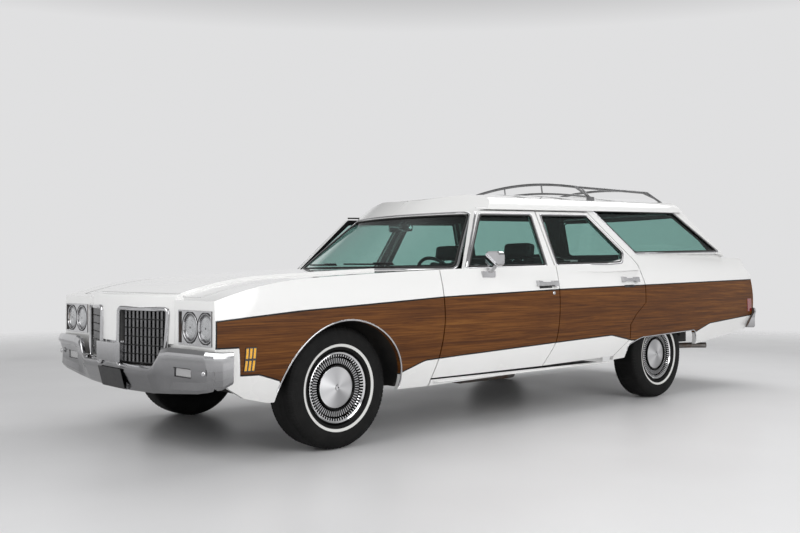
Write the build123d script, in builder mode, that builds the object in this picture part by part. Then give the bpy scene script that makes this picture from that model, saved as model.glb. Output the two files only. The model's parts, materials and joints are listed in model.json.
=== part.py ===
from build123d import *
import os
from math import cos, radians, sin, sqrt, tan

# Full-size station wagon with wood-look sides: a hollow body on a perimeter frame.
# +X is the car's left (driver's) side, the front faces -Y and +Z is up. Stations are
# measured back from the front axle, heights up from the ground, in mm.

os.makedirs("parts", exist_ok=True)

# ---------------------------------------------------------------- driving dimensions
FRONT_AXLE_Y = -1906.5      # the origin lies on the ground at the car's mid-length
WHEELBASE = 3226.0
HALF_WIDTH = 1008.0         # body side at its widest
WIDEST_STATION = 1950.0
WIDEST_HEIGHT = 680.0
PLAN_RADIUS = 105800.0      # the sides bow gently from nose to tail
LOWER_SIDE_RADIUS = 800.0   # turn-under below the widest line
UPPER_SIDE_RADIUS = 1050.0  # shoulder above it

PANEL_GAP = 9.0             # shut line between moving and fixed panels
REAR_DOOR_GAP = 11.0        # the rear door's low corner swings back a little
SEAM = 0.4                  # seam between panels that don't move
SKIN = 28.0                 # fender and quarter wall
DOOR_INNER_X = 888.0        # inner face of every door slab
DOOR_SKIN = 26.0            # outer layer of a door, its inner box is set back
INNER_SETBACK = 9.0
GLASS = 5.0
GLASS_INSET = 9.0           # glass lies this deep in its frame

# tyres and wheels
TYRE_RADIUS = 345.0
TRACK_HALF = 814.0
TYRE_HALF_WIDTH = 110.0
WHEEL_CLEAR = 14.0          # free space round a rear tyre inside its wheelhouse
KINGPIN_OFFSET = 98.0        # kingpin inboard of the wheel's centre plane
KINGPIN_X = TRACK_HALF - KINGPIN_OFFSET

# greenhouse section at the reference station
GLASSHOUSE_STATION = 1420.0
GLASSHOUSE_TILT = 2.2       # degrees, the roof climbs to the rear
BELT_X = 930.0
BELT_Z = 1025.0
DRIP_X = 700.0
DRIP_Z = 1424.0
CROWN_Z = 1585.0
PILLAR = 56.0               # pillar and roof thickness
FRAME_DEPTH = 28.0          # door window frame thickness

WINDSHIELD_RADIUS = 1550.0
WINDSHIELD_TOP = (1270.0, 1427.0)
WINDSHIELD_BASE = (753.0, 1030.0)


def y_at(station):
    return FRONT_AXLE_Y + station


def side_prism(outline, x_from, x_to):
    """Solid across the car from a closed outline of (station, height) points."""
    with BuildPart() as prism:
        with BuildSketch(Plane.YZ.offset(x_from)):
            with BuildLine():
                Polyline(*[(y_at(s), z) for s, z in outline], close=True)
            make_face()
        extrude(amount=x_to - x_from)
    return prism.part


def plan_prism(outline, z_from, z_to):
    """Upright solid from a closed outline of (x, station) points."""
    with BuildPart() as prism:
        with BuildSketch(Plane.XY.offset(z_from)):
            with BuildLine():
                Polyline(*[(x, y_at(s)) for x, s in outline], close=True)
            make_face()
        extrude(amount=z_to - z_from)
    return prism.part


def front_prism(outline, s_from, s_to):
    """Solid along the car from a closed outline of (x, height) points."""
    with BuildPart() as prism:
        with BuildSketch(Plane.XZ.offset(-y_at(s_from))):
            with BuildLine():
                Polyline(*outline, close=True)
            make_face()
        extrude(amount=-(s_to - s_from))
    return prism.part


def block(x_range, s_range, z_range):
    """Plain block between two corners, the middle number being a station."""
    with BuildPart() as solid:
        with Locations(((x_range[0] + x_range[1]) / 2,
                        y_at((s_range[0] + s_range[1]) / 2),
                        (z_range[0] + z_range[1]) / 2)):
            Box(x_range[1] - x_range[0], s_range[1] - s_range[0], z_range[1] - z_range[0])
    return solid.part


def cross_cylinder(station, height, radius, x_from, x_to):
    """Cylinder lying across the car."""
    with BuildPart() as solid:
        with BuildSketch(Plane.YZ.offset(x_from)):
            with Locations((y_at(station), height)):
                Circle(radius)
        extrude(amount=x_to - x_from)
    return solid.part


def rod(start, end, radius):
    """Round bar between two points given as (x, station, height)."""
    (x0, s0, z0), (x1, s1, z1) = start, end
    run = Vector(x1 - x0, s1 - s0, z1 - z0)
    with BuildPart() as solid:
        with BuildSketch(Plane(origin=(x0, y_at(s0), z0), z_dir=run)):
            Circle(radius)
        extrude(amount=run.length)
    return solid.part


def arched_rod(start, middle, end, radius):
    """Round bar bent along an arc through three (x, station, height) points."""
    with BuildPart() as solid:
        with BuildLine() as route:
            ThreePointArc(*[(x, y_at(s), z) for x, s, z in (start, middle, end)])
        with BuildSketch(Plane(origin=route.line @ 0, z_dir=route.line % 0)):
            Circle(radius)
        sweep()
    return solid.part


def save(part, name):
    part.label = name
    export_step(part, "parts/" + name + ".step")


def both_sides(part):
    return [part, part.mirror(Plane.YZ)]


def tyre_space(x_side):
    """Room that a rear tyre needs."""
    reach = TYRE_HALF_WIDTH + WHEEL_CLEAR
    return cross_cylinder(WHEELBASE, TYRE_RADIUS, TYRE_RADIUS + WHEEL_CLEAR,
                          x_side * TRACK_HALF - reach, x_side * TRACK_HALF + reach)


# ---------------------------------------------------------------- body forms
def side_x(height, inset=0.0):
    """Half width of the body section at a height, at its widest station."""
    radius = LOWER_SIDE_RADIUS if height < WIDEST_HEIGHT else UPPER_SIDE_RADIUS
    drop = height - WIDEST_HEIGHT
    return HALF_WIDTH - inset - (radius - sqrt(radius ** 2 - drop ** 2))


FORM_BOTTOM = 230.0
FORM_TOP = 1250.0
SWING = 1.8                 # degrees of plan arc each way


def side_form(inset):
    """Body-wide solid whose left and right sides bow in plan and curve in section."""
    centre_x = HALF_WIDTH - PLAN_RADIUS
    swing = radians(SWING)
    section_plane = Plane(
        origin=(centre_x, y_at(WIDEST_STATION), 0),
        x_dir=(cos(swing), -sin(swing), 0),
        z_dir=(-sin(swing), -cos(swing), 0),
    )
    low_mid = (FORM_BOTTOM + WIDEST_HEIGHT) / 2
    high_mid = (FORM_TOP + WIDEST_HEIGHT) / 2
    far = -1150.0
    with BuildPart() as left:
        with BuildSketch(section_plane):
            with BuildLine():
                ThreePointArc(
                    (side_x(FORM_BOTTOM, inset) - centre_x, FORM_BOTTOM),
                    (side_x(low_mid, inset) - centre_x, low_mid),
                    (HALF_WIDTH - inset - centre_x, WIDEST_HEIGHT),
                )
                ThreePointArc(
                    (HALF_WIDTH - inset - centre_x, WIDEST_HEIGHT),
                    (side_x(high_mid, inset) - centre_x, high_mid),
                    (side_x(FORM_TOP, inset) - centre_x, FORM_TOP),
                )
                Polyline(
                    (side_x(FORM_TOP, inset) - centre_x, FORM_TOP),
                    (far - centre_x, FORM_TOP),
                    (far - centre_x, FORM_BOTTOM),
                    (side_x(FORM_BOTTOM, inset) - centre_x, FORM_BOTTOM),
                )
            make_face()
        revolve(axis=Axis((centre_x, y_at(WIDEST_STATION), 0), (0, 0, 1)),
                revolution_arc=2 * SWING)
    right = left.part.mirror(Plane.YZ)
    with BuildPart() as form:
        add(left.part)
        add(right, mode=Mode.INTERSECT)
    return form.part


# hood, fender and belt line of the lower body, then its tail and underside
NOSE_STATION = -812.0
TAIL_STATION = 4728.0


def lower_profile(drop, x_reach, end_inset=0.0, floor_drop=0.0):
    """Side view of the lower body; drop lowers its top line."""
    with BuildPart() as profile:
        with BuildSketch(Plane.YZ.offset(-x_reach)):
            with BuildLine():
                ThreePointArc((y_at(NOSE_STATION + end_inset), 842 - drop),
                              (y_at(-600), 902 - drop), (y_at(-250), 955 - drop))
                ThreePointArc((y_at(-250), 955 - drop), (y_at(400), 992 - drop),
                              (y_at(1050), 1018 - drop))
                Polyline(
                    (y_at(1050), 1018 - drop),
                    (y_at(2506), 1063 - drop),
                    (y_at(2920), 1132 - drop),
                    (y_at(4213), 1166 - drop),
                    (y_at(4323), 1134 - drop),
                    (y_at(4670 - end_inset), 1134 - drop),
                    (y_at(4664 - end_inset), 1062),
                    (y_at(TAIL_STATION - end_inset), 976),
                    (y_at(4716 - end_inset), 800),
                    (y_at(4690 - end_inset), 610),
                    (y_at(4560), 492 - floor_drop),
                    (y_at(3700), 398 - floor_drop),
                    (y_at(2570), 340 - floor_drop),
                    (y_at(663), 297 - floor_drop),
                    (y_at(-454), 300 - floor_drop),
                    (y_at(-604), 338 - floor_drop),
                    (y_at(-701), 393 - floor_drop),
                    (y_at(NOSE_STATION + 20 + end_inset), 480),
                    (y_at(NOSE_STATION + end_inset), 600),
                    (y_at(NOSE_STATION + end_inset), 842 - drop),
                )
            make_face()
        extrude(amount=2 * x_reach)
    return profile.part


REACH = 1200.0
with BuildPart() as lower_outer:
    add(side_form(0))
    add(lower_profile(0, REACH), mode=Mode.INTERSECT)

with BuildPart() as lower_inner:
    add(side_form(SKIN))
    add(lower_profile(SKIN, REACH, end_inset=SKIN, floor_drop=200), mode=Mode.INTERSECT)

with BuildPart() as lower_shell:
    add(lower_outer.part)
    add(lower_inner.part, mode=Mode.SUBTRACT)


# greenhouse: the section runs rearwards along a line that climbs
TILT_DIR = (0, cos(radians(GLASSHOUSE_TILT)), sin(radians(GLASSHOUSE_TILT)))
LEAN = (BELT_X - DRIP_X) / (DRIP_Z - BELT_Z)    # tumblehome of the side glass
SECTION_LOW = 960.0


def lean_x(height, inset=0.0):
    """Half width of the greenhouse side at a height of the reference station."""
    return BELT_X - inset * sqrt(1 + LEAN ** 2) - LEAN * (height - BELT_Z)


def lift(station):
    """How far the greenhouse has climbed at a station."""
    return tan(radians(GLASSHOUSE_TILT)) * (station - GLASSHOUSE_STATION)


def greenhouse_form(inset):
    """Roof and tumblehome section, extruded along the climbing line."""
    roll_x = 600.0
    roll_z = 1520.0
    start = 500.0
    low = SECTION_LOW
    with BuildPart() as form:
        with BuildSketch(Plane.XZ.offset(-y_at(start))):
            with BuildLine():
                base = lift(start)
                edge = lean_x(DRIP_Z, inset)
                crown = CROWN_Z - inset
                Polyline((-edge, DRIP_Z + base), (-lean_x(low, inset), low + base),
                         (lean_x(low, inset), low + base), (edge, DRIP_Z + base))
                ThreePointArc((edge, DRIP_Z + base),
                              (edge - 30, DRIP_Z + 62 - inset * 0.4 + base),
                              (roll_x - inset, roll_z - inset + base))
                ThreePointArc((roll_x - inset, roll_z - inset + base), (0, crown + base),
                              (inset - roll_x, roll_z - inset + base))
                ThreePointArc((inset - roll_x, roll_z - inset + base),
                              (30 - edge, DRIP_Z + 62 - inset * 0.4 + base),
                              (-edge, DRIP_Z + base))
            make_face()
        extrude(amount=4200, dir=TILT_DIR)
    return form.part


def roof_profile(drop, rear_drop):
    """Side view of the roof and the slope of the rear glass."""
    top_s, top_z = WINDSHIELD_TOP
    with BuildPart() as profile:
        with BuildSketch(Plane.YZ.offset(-REACH)):
            with BuildLine():
                ThreePointArc((y_at(top_s), top_z - drop), (y_at(1360), 1506 - drop),
                              (y_at(1560), 1548 - drop))
                ThreePointArc((y_at(1560), 1548 - drop), (y_at(2700), 1633 - drop),
                              (y_at(3700), 1652 - drop))
                ThreePointArc((y_at(3700), 1652 - drop), (y_at(3930), 1632 - drop),
                              (y_at(4070 - rear_drop), 1568 - drop))
                Polyline((y_at(4070 - rear_drop), 1568 - drop), (y_at(4560 - rear_drop), 1120),
                         (y_at(4560 - rear_drop), 960), (y_at(560), 960),
                         (y_at(560), 1000), (y_at(top_s), top_z - drop))
            make_face()
        extrude(amount=2 * REACH)
    return profile.part


def bowed_wall(top, base, radius, inset, forward):
    """Solid on one side of a glass that bows in plan and slopes in side view."""
    (top_s, top_z), (base_s, base_z) = top, base
    slope = (top_s - base_s) / (top_z - base_z)
    low, high = 900.0, 1750.0
    low_s = base_s + slope * (low - base_z)
    sign = 1 if forward else -1
    half = 1150.0
    sag = radius - sqrt(radius ** 2 - half ** 2)
    with BuildPart() as wall:
        with BuildSketch(Plane.XY.offset(low)):
            with BuildLine():
                edge_y = y_at(low_s + sign * (inset + sag))
                apex_y = y_at(low_s + sign * inset)
                ThreePointArc((-half, edge_y), (0, apex_y), (half, edge_y))
                Polyline((half, edge_y), (half, edge_y - sign * 2500),
                         (-half, edge_y - sign * 2500), (-half, edge_y))
            make_face()
        extrude(amount=sqrt((high - low) ** 2 + (slope * (high - low)) ** 2),
                dir=(0, slope, 1))
    return wall.part


REAR_GLASS_RADIUS = 2300.0
REAR_GLASS_TOP = (4040.0, 1565.0)
REAR_GLASS_BASE = (4450.0, 1166.0)

with BuildPart() as house_outer:
    add(greenhouse_form(0))
    add(roof_profile(0, 0), mode=Mode.INTERSECT)
    add(bowed_wall(WINDSHIELD_TOP, WINDSHIELD_BASE, WINDSHIELD_RADIUS, 0, True),
        mode=Mode.SUBTRACT)
    add(bowed_wall(REAR_GLASS_TOP, REAR_GLASS_BASE, REAR_GLASS_RADIUS, 0, False),
        mode=Mode.SUBTRACT)

with BuildPart() as house_inner:
    add(greenhouse_form(PILLAR))
    add(roof_profile(PILLAR, 2 * PILLAR), mode=Mode.INTERSECT)
    add(bowed_wall(WINDSHIELD_TOP, WINDSHIELD_BASE, WINDSHIELD_RADIUS, PILLAR, True),
        mode=Mode.SUBTRACT)
    add(bowed_wall(REAR_GLASS_TOP, REAR_GLASS_BASE, REAR_GLASS_RADIUS, PILLAR, False),
        mode=Mode.SUBTRACT)


# ---------------------------------------------------------------- outlines in side view
# door shut lines and window openings as (station, height)
FRONT_DOOR_FRONT = [(702, 346), (727, 481), (752, 700), (754, 841), (750, 1100)]
DOOR_SPLIT = [(1738, 352), (1826, 513), (1843, 674), (1874, 945), (1882, 1040), (1948, 1600)]
REAR_DOOR_REAR = [(2566, 372), (2726, 495), (2708, 603), (2777, 678), (2916, 765),
                  (2941, 906), (2905, 1060), (2836, 1134)]
FRONT_DOOR_FRAME = [(985, 1000), (1312, 1412), (1942, 1436), (1876, 1000)]
REAR_DOOR_FRAME = [(1892, 1000), (1958, 1436), (2570, 1458), (2836, 1134), (2900, 1000)]
FRONT_WINDOW = [(1030, 1024), (1352, 1386), (1880, 1406), (1800, 1044)]
REAR_WINDOW = [(1924, 1050), (1994, 1410), (2538, 1430), (2772, 1150), (2700, 1076), (2560, 1066)]
QUARTER_WINDOW = [(2944, 1152), (2664, 1478), (3800, 1514), (4196, 1190)]
WINDSHIELD_OPENING = [(-838, 1026), (-612, 1396), (612, 1396), (838, 1026)]
REAR_GLASS_OPENING = [(-790, 1176), (-640, 1500), (640, 1500), (790, 1176)]
BELOW_BELT = [(300, 900), (300, 1020), (1050, 1018 + SEAM), (2506, 1063 + SEAM),
              (2920, 1132 + SEAM), (4213, 1166 + SEAM), (4323, 1134 + SEAM),
              (4800, 1134 + SEAM), (4800, 900)]


def shifted(points, ds, dz=0):
    return [(s + ds, z + dz) for s, z in points]


# ---------------------------------------------------------------- doors
door_skin_form = side_form(DOOR_SKIN)


def door_slab(front_edge, rear_edge):
    """Outer skin, and a box behind it whose rear edge is set back to swing clear."""
    outline = front_edge + list(reversed(rear_edge))
    boxed = front_edge + list(reversed(shifted(rear_edge, -INNER_SETBACK)))
    with BuildPart() as slab:
        add(lower_outer.part)
        add(side_prism(outline, DOOR_INNER_X, 1100), mode=Mode.INTERSECT)
        add(door_skin_form, mode=Mode.SUBTRACT)
    with BuildPart() as box:
        add(lower_outer.part & door_skin_form)
        add(side_prism(boxed, DOOR_INNER_X, 1100), mode=Mode.INTERSECT)
    return slab.part + box.part


def house_layer(outer_inset, inner_inset):
    """Layer of the greenhouse between two depths."""
    with BuildPart() as layer:
        add(greenhouse_form(outer_inset))
        add(greenhouse_form(inner_inset), mode=Mode.SUBTRACT)
    return layer.part


frame_layer = house_layer(0, FRAME_DEPTH)
rebate_layer = house_layer(-20, FRAME_DEPTH + 6)
glass_layer = house_layer(GLASS_INSET, GLASS_INSET + GLASS)

HANDLE_REACH = 26.0         # how far a door handle stands out
GRIP_THICK = 11.0
grip_layer = side_form(-HANDLE_REACH) - side_form(GRIP_THICK - HANDLE_REACH)
handle_layer = side_form(-HANDLE_REACH) - side_form(1)


def door_handle(front, low):
    """Grip bar on a flat block at its front and a push-button block at its rear."""
    grip = [(front, low + 12), (front + 210, low + 8), (front + 210, low + 26),
            (front, low + 32)]
    front_block = [(front, low + 6), (front + 44, low + 8), (front + 44, low + 36),
                   (front, low + 40)]
    button_block = [(front + 160, low), (front + 212, low), (front + 212, low + 38),
                    (front + 160, low + 38)]
    with BuildPart() as handle:
        add(side_prism(grip, 800, 1100) & grip_layer)
        add(side_prism(front_block, 800, 1100) & handle_layer)
        add(side_prism(button_block, 800, 1100) & handle_layer)
    return handle.part


DOORS = [
    # name, slab's front edge, slab's rear edge, frame outline, window outline, handle's corner
    ("front", FRONT_DOOR_FRONT, DOOR_SPLIT[:-1] + [(1886, 1100)], FRONT_DOOR_FRAME,
     FRONT_WINDOW, (1632, 899)),
    ("rear", shifted(DOOR_SPLIT[:-1], PANEL_GAP) + [(1895, 1150)],
     REAR_DOOR_REAR + [(2834, 1150)], REAR_DOOR_FRAME, REAR_WINDOW, (2634, 925)),
]
for place, front_edge, rear_edge, frame_outline, window, handle_corner in DOORS:
    with BuildPart() as door:
        add(frame_layer)
        add(side_prism(frame_outline, 500, 1100), mode=Mode.INTERSECT)
        add(side_prism(window, 500, 1100), mode=Mode.SUBTRACT)
        add(door_slab(front_edge, rear_edge))
        add(door_handle(*handle_corner))
    with BuildPart() as pane:
        add(glass_layer)
        add(side_prism(window, 500, 1100), mode=Mode.INTERSECT)
        add(door.part, mode=Mode.SUBTRACT)
    for side, solid, glass in zip(("left", "right"), both_sides(door.part),
                                  both_sides(pane.part)):
        save(solid, "door_" + place + "_" + side)
        save(glass, "glass_" + place + "_" + side)


# ---------------------------------------------------------------- roof and fixed glass
GUTTER = 9.0                # how far the rain gutter stands out


def grown(points, by):
    """Closed outline pushed outwards from its own middle along each edge's normal."""
    with BuildSketch() as sketch:
        with BuildLine():
            Polyline(*points, close=True)
        make_face()
        offset(amount=by, kind=Kind.INTERSECTION)
    corners = [edge.position_at(0) for edge in sketch.sketch.faces()[0].outer_wire().order_edges()]
    return [(corner.X, corner.Y) for corner in corners]


with BuildPart() as roof:
    add(house_outer.part)
    add(house_inner.part, mode=Mode.SUBTRACT)
    for side in (1, -1):
        x_range = (300, 1100) if side > 0 else (-1100, -300)
        add(side_prism(BELOW_BELT, *x_range), mode=Mode.SUBTRACT)
        for outline in (FRONT_DOOR_FRAME, REAR_DOOR_FRAME):
            pocket = side_prism(grown(outline, PANEL_GAP), *x_range) & rebate_layer
            add(pocket, mode=Mode.SUBTRACT)
            add(side_prism(grown(outline, -18), *x_range), mode=Mode.SUBTRACT)
        add(side_prism(QUARTER_WINDOW, *x_range), mode=Mode.SUBTRACT)
    add(front_prism([(-REACH, 900), (-REACH, 1019), (REACH, 1019), (REACH, 900)], 300, 1100),
        mode=Mode.SUBTRACT)
    add(front_prism([(-REACH, 900), (-REACH, 1134.4), (REACH, 1134.4), (REACH, 900)],
                    4330, 4900), mode=Mode.SUBTRACT)
    add(front_prism(WINDSHIELD_OPENING, 400, 1700), mode=Mode.SUBTRACT)
    add(front_prism(REAR_GLASS_OPENING, 3700, 4900), mode=Mode.SUBTRACT)
    # rain gutter above the side windows
    gutter = [(s, DRIP_Z + lift(s) + rise) for s, rise in
              ((1330, 4), (3920, 4), (3920, 15), (1330, 15))]
    add(side_prism(gutter, -1100, 1100) & house_layer(-GUTTER, 1))
save(roof.part.solids().sort_by(SortBy.VOLUME)[-1], "roof")


def bowed_pane(top, base, radius, forward, opening, s_range):
    with BuildPart() as pane:
        add(bowed_wall(top, base, radius, GLASS_INSET + GLASS, forward))
        add(bowed_wall(top, base, radius, GLASS_INSET, forward), mode=Mode.SUBTRACT)
        add(front_prism(opening, *s_range), mode=Mode.INTERSECT)
    return pane.part


with BuildPart() as fixed_glass:
    add(bowed_pane(WINDSHIELD_TOP, WINDSHIELD_BASE, WINDSHIELD_RADIUS, True,
                   WINDSHIELD_OPENING, (400, 1700)))
    add(bowed_pane(REAR_GLASS_TOP, REAR_GLASS_BASE, REAR_GLASS_RADIUS, False,
                   REAR_GLASS_OPENING, (3700, 4900)))
    for x_range in ((500, 1100), (-1100, -500)):
        add(side_prism(QUARTER_WINDOW, *x_range) & glass_layer)
save(fixed_glass.part, "fixed_glass")


# ---------------------------------------------------------------- nose, fenders, hood, cowl
NOSE_SEAM = -770.0          # header panel ends, hood and fender tops begin
HOOD_REAR = 610.0
HOOD_HALF = 742.0
HOOD_THICK = 26.0
HOOD_BULGE_HALF = 520.0
HOOD_BULGE = 16.0
FENDER_INNER_X = 950.0      # header panel lies between the fenders' side walls
NOSE_BOX_HALF = 560.0
FRONT_ARCH = (18.0, 292.0, 428.0)   # station, height and radius of the wheel opening
REAR_ARCH = [(2728, 100), (2728, 440), (2809, 470), (2891, 494), (3669, 519), (3704, 480),
             (3738, 404), (3738, 100)]


NOSE_BOX_FRONT = -928.0
NOSE_BOX_SIDE = -805.0
NOSE_BOX_Z = (608.0, 872.0)
GRILLE_OPENING = [(118, 470), (118, 784), (502, 784), (480, 470)]
LAMP_OPENING = [(596, 614), (596, 792), (943, 792), (943, 614)]


def nose_form(proud=0.0):
    """Box between hood and bumper, its front bowed in plan."""
    with BuildPart() as form:
        with BuildSketch(Plane.XY.offset(NOSE_BOX_Z[0])):
            with BuildLine():
                ThreePointArc((-NOSE_BOX_HALF - proud, y_at(NOSE_BOX_SIDE - proud)),
                              (0, y_at(NOSE_BOX_FRONT - proud)),
                              (NOSE_BOX_HALF + proud, y_at(NOSE_BOX_SIDE - proud)))
                Polyline((NOSE_BOX_HALF + proud, y_at(NOSE_BOX_SIDE - proud)),
                         (NOSE_BOX_HALF + proud, y_at(NOSE_SEAM)),
                         (-NOSE_BOX_HALF - proud, y_at(NOSE_SEAM)),
                         (-NOSE_BOX_HALF - proud, y_at(NOSE_BOX_SIDE - proud)))
            make_face()
        extrude(amount=NOSE_BOX_Z[1] - NOSE_BOX_Z[0])
    return form.part


NOSE_EDGE = 15.0            # rounding of the box's front edges
with BuildPart() as nose_box:
    add(nose_form())
    front_edges = [edge for edge in nose_box.edges()
                   if edge.center().Y < y_at(NOSE_BOX_SIDE) + 1
                   and edge.center().Z > NOSE_BOX_Z[0] + 1]
    fillet(front_edges, NOSE_EDGE)

with BuildPart() as header:
    add(lower_shell.part)
    add(block((-FENDER_INNER_X, FENDER_INNER_X), (-900, NOSE_SEAM), (440, 900)),
        mode=Mode.INTERSECT)
    add(nose_box.part)
    # hollow behind the box, the two grille openings and the headlamp openings
    add(block((-FENDER_INNER_X, FENDER_INNER_X), (-784, -700), (300, 835)), mode=Mode.SUBTRACT)
    for opening in (GRILLE_OPENING, LAMP_OPENING):
        for side in (1, -1):
            add(front_prism([(side * x, z) for x, z in opening], -1000, -700),
                mode=Mode.SUBTRACT)
save(header.part, "nose_panel")

with BuildPart() as hood_form:
    add(lower_profile(0, REACH) & side_form(0))
    add(lower_profile(HOOD_THICK, REACH, floor_drop=300), mode=Mode.SUBTRACT)
    add(block((-HOOD_HALF, HOOD_HALF), (NOSE_SEAM + PANEL_GAP, HOOD_REAR), (800, 1100)),
        mode=Mode.INTERSECT)
with BuildPart() as bulge:
    add(lower_profile(-HOOD_BULGE, REACH))
    add(lower_profile(HOOD_THICK, REACH, floor_drop=300), mode=Mode.SUBTRACT)
    add(front_prism([(-HOOD_BULGE_HALF, 800), (-HOOD_BULGE_HALF + 40, 1100),
                     (HOOD_BULGE_HALF - 40, 1100), (HOOD_BULGE_HALF, 800)],
                    NOSE_SEAM + PANEL_GAP, HOOD_REAR), mode=Mode.INTERSECT)
HINGE_PIN_RADIUS = 5.0
HINGE_PLAY = 0.3
HINGE_EYE_RADIUS = 10.0
HINGE_STATION = 640.0
HINGE_Z = 976.0
HINGE_ARM_X = (590.0, 608.0)
with BuildPart() as hood:
    add(hood_form.part)
    add(bulge.part)
    # two arms reach back to the hinge pins in the wiper well
    for side in (1, -1):
        arm_x = sorted((side * HINGE_ARM_X[0], side * HINGE_ARM_X[1]))
        add(block(arm_x, (560, HINGE_STATION), (HINGE_Z - HINGE_EYE_RADIUS, HINGE_Z + 8)))
        add(cross_cylinder(HINGE_STATION, HINGE_Z, HINGE_EYE_RADIUS, *arm_x))
        add(cross_cylinder(HINGE_STATION, HINGE_Z, HINGE_PIN_RADIUS + HINGE_PLAY, *arm_x),
            mode=Mode.SUBTRACT)
save(hood.part, "hood")

# fender: side wall, top strip beside the hood, and a lip round the wheel opening
fender_outline = [(-900, 250), (-900, 900), (200, 1100)] + \
    list(reversed(shifted(FRONT_DOOR_FRONT, -PANEL_GAP))) + [(680, 250)]
arch_s, arch_z, arch_r = FRONT_ARCH
with BuildPart() as fender:
    add(lower_shell.part)
    add(side_prism(fender_outline, 0, 1100), mode=Mode.INTERSECT)
    add(block((0, FENDER_INNER_X + SEAM), (-900, NOSE_SEAM + SEAM), (200, 1000)),
        mode=Mode.SUBTRACT)
    add(block((0, HOOD_HALF + PANEL_GAP), (-900, 800), (200, 1200)), mode=Mode.SUBTRACT)
    add(cross_cylinder(arch_s, arch_z, arch_r, 500, 1100), mode=Mode.SUBTRACT)
    add(block((500, 1100), (arch_s - arch_r, arch_s + arch_r), (100, arch_z)),
        mode=Mode.SUBTRACT)
for side, solid in zip(("left", "right"), both_sides(fender.part)):
    save(solid, "fender_" + side)

COWL_REAR = 1046.0
FIREWALL_STATION = 644.0
FLOOR = 18.0
RAIL_TOP_SIDE = 362.0
RAIL_TOP_REAR = 600.0
FLOOR_Z = RAIL_TOP_SIDE + SEAM
LOAD_FLOOR_Z = RAIL_TOP_REAR + SEAM
TUNNEL_HALF = 190.0
TUNNEL_TOP = 500.0
WELL_Z = 956.0              # floor of the wiper well behind the hood
WELL_REAR = 745.0
with BuildPart() as cowl:
    add(lower_shell.part)
    add(block((-876, 876), (WELL_REAR, COWL_REAR), (900, 1100)), mode=Mode.INTERSECT)
    # wiper well, its rear wall, and the firewall below it
    add(block((-HOOD_HALF, HOOD_HALF), (HOOD_REAR + PANEL_GAP, WELL_REAR),
              (WELL_Z - FLOOR, WELL_Z)))
    add(block((-HOOD_HALF, HOOD_HALF), (WELL_REAR - 10, WELL_REAR + 4), (WELL_Z - 10, 1002)))
    add(block((-700, 700), (FIREWALL_STATION, FIREWALL_STATION + FLOOR),
              (FLOOR_Z, WELL_Z - 10)))
    # brackets and pins that the hood turns on
    for side in (1, -1):
        add(block(sorted((side * (HINGE_ARM_X[1] + 2), side * (HINGE_ARM_X[1] + 14))),
                  (HINGE_STATION - 12, HINGE_STATION + 12), (940, HINGE_Z + 8)))
        add(cross_cylinder(HINGE_STATION, HINGE_Z, HINGE_PIN_RADIUS,
                           *sorted((side * HINGE_ARM_X[0], side * (HINGE_ARM_X[1] + 4)))))
    add(block((-TUNNEL_HALF + 20, TUNNEL_HALF - 20), (600, 700), (300, TUNNEL_TOP)),
        mode=Mode.SUBTRACT)
save(cowl.part, "cowl")

# ---------------------------------------------------------------- quarters and tailgate
GATE_HALF = 705.0
GATE_THICK = 70.0
quarter_outline = shifted(REAR_DOOR_REAR[:-1], REAR_DOOR_GAP) + \
    [(2844, 1138), (2920, 1300), (4900, 1300), (4900, 200), (2574, 200)]
with BuildPart() as quarter:
    add(lower_shell.part)
    add(side_prism(quarter_outline, 0, 1100), mode=Mode.INTERSECT)
    add(block((0, 866), (2400, 4420), (100, 1300)), mode=Mode.SUBTRACT)
    add(block((0, GATE_HALF + SEAM), (2400, 4900), (100, 1300)), mode=Mode.SUBTRACT)
    add(side_prism(REAR_ARCH, 500, 1100), mode=Mode.SUBTRACT)
    add(tyre_space(1), mode=Mode.SUBTRACT)
for side, solid in zip(("left", "right"), both_sides(quarter.part)):
    save(solid, "quarter_" + side)

with BuildPart() as gate:
    add(lower_profile(0, REACH))
    add(lower_profile(34, REACH, end_inset=GATE_THICK, floor_drop=300), mode=Mode.SUBTRACT)
    add(block((-GATE_HALF, GATE_HALF), (4330, 4900), (560, 1300)), mode=Mode.INTERSECT)
save(gate.part, "tailgate")

# ---------------------------------------------------------------- inner body sides
SILL_TOP = 336.0
FLOOR_HALF = 770.0
with BuildPart() as sill_outer:
    add(lower_outer.part)
    add(block((790, 1100), (702 + SEAM, 2560), (200, SILL_TOP)), mode=Mode.INTERSECT)
with BuildPart() as body_side:
    add(sill_outer.part)
    # raised inner sill, hinge pillar, centre pillar and lock pillar
    add(block((FLOOR_HALF + SEAM, 812), (700, 2600), (300, 392)))
    add(block((FLOOR_HALF + SEAM, 852), (770, 812), (300, 1100)) &
        lower_profile(SKIN + SEAM, REACH))
    add(block((FLOOR_HALF + SEAM, 812), (1800, 1880), (300, 1040)))
    add(block((FLOOR_HALF + SEAM, 812), (2560, 2620), (300, 1060)))
with BuildPart() as body_sides:
    add(both_sides(body_side.part))
save(body_sides.part, "body_sides")

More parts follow.
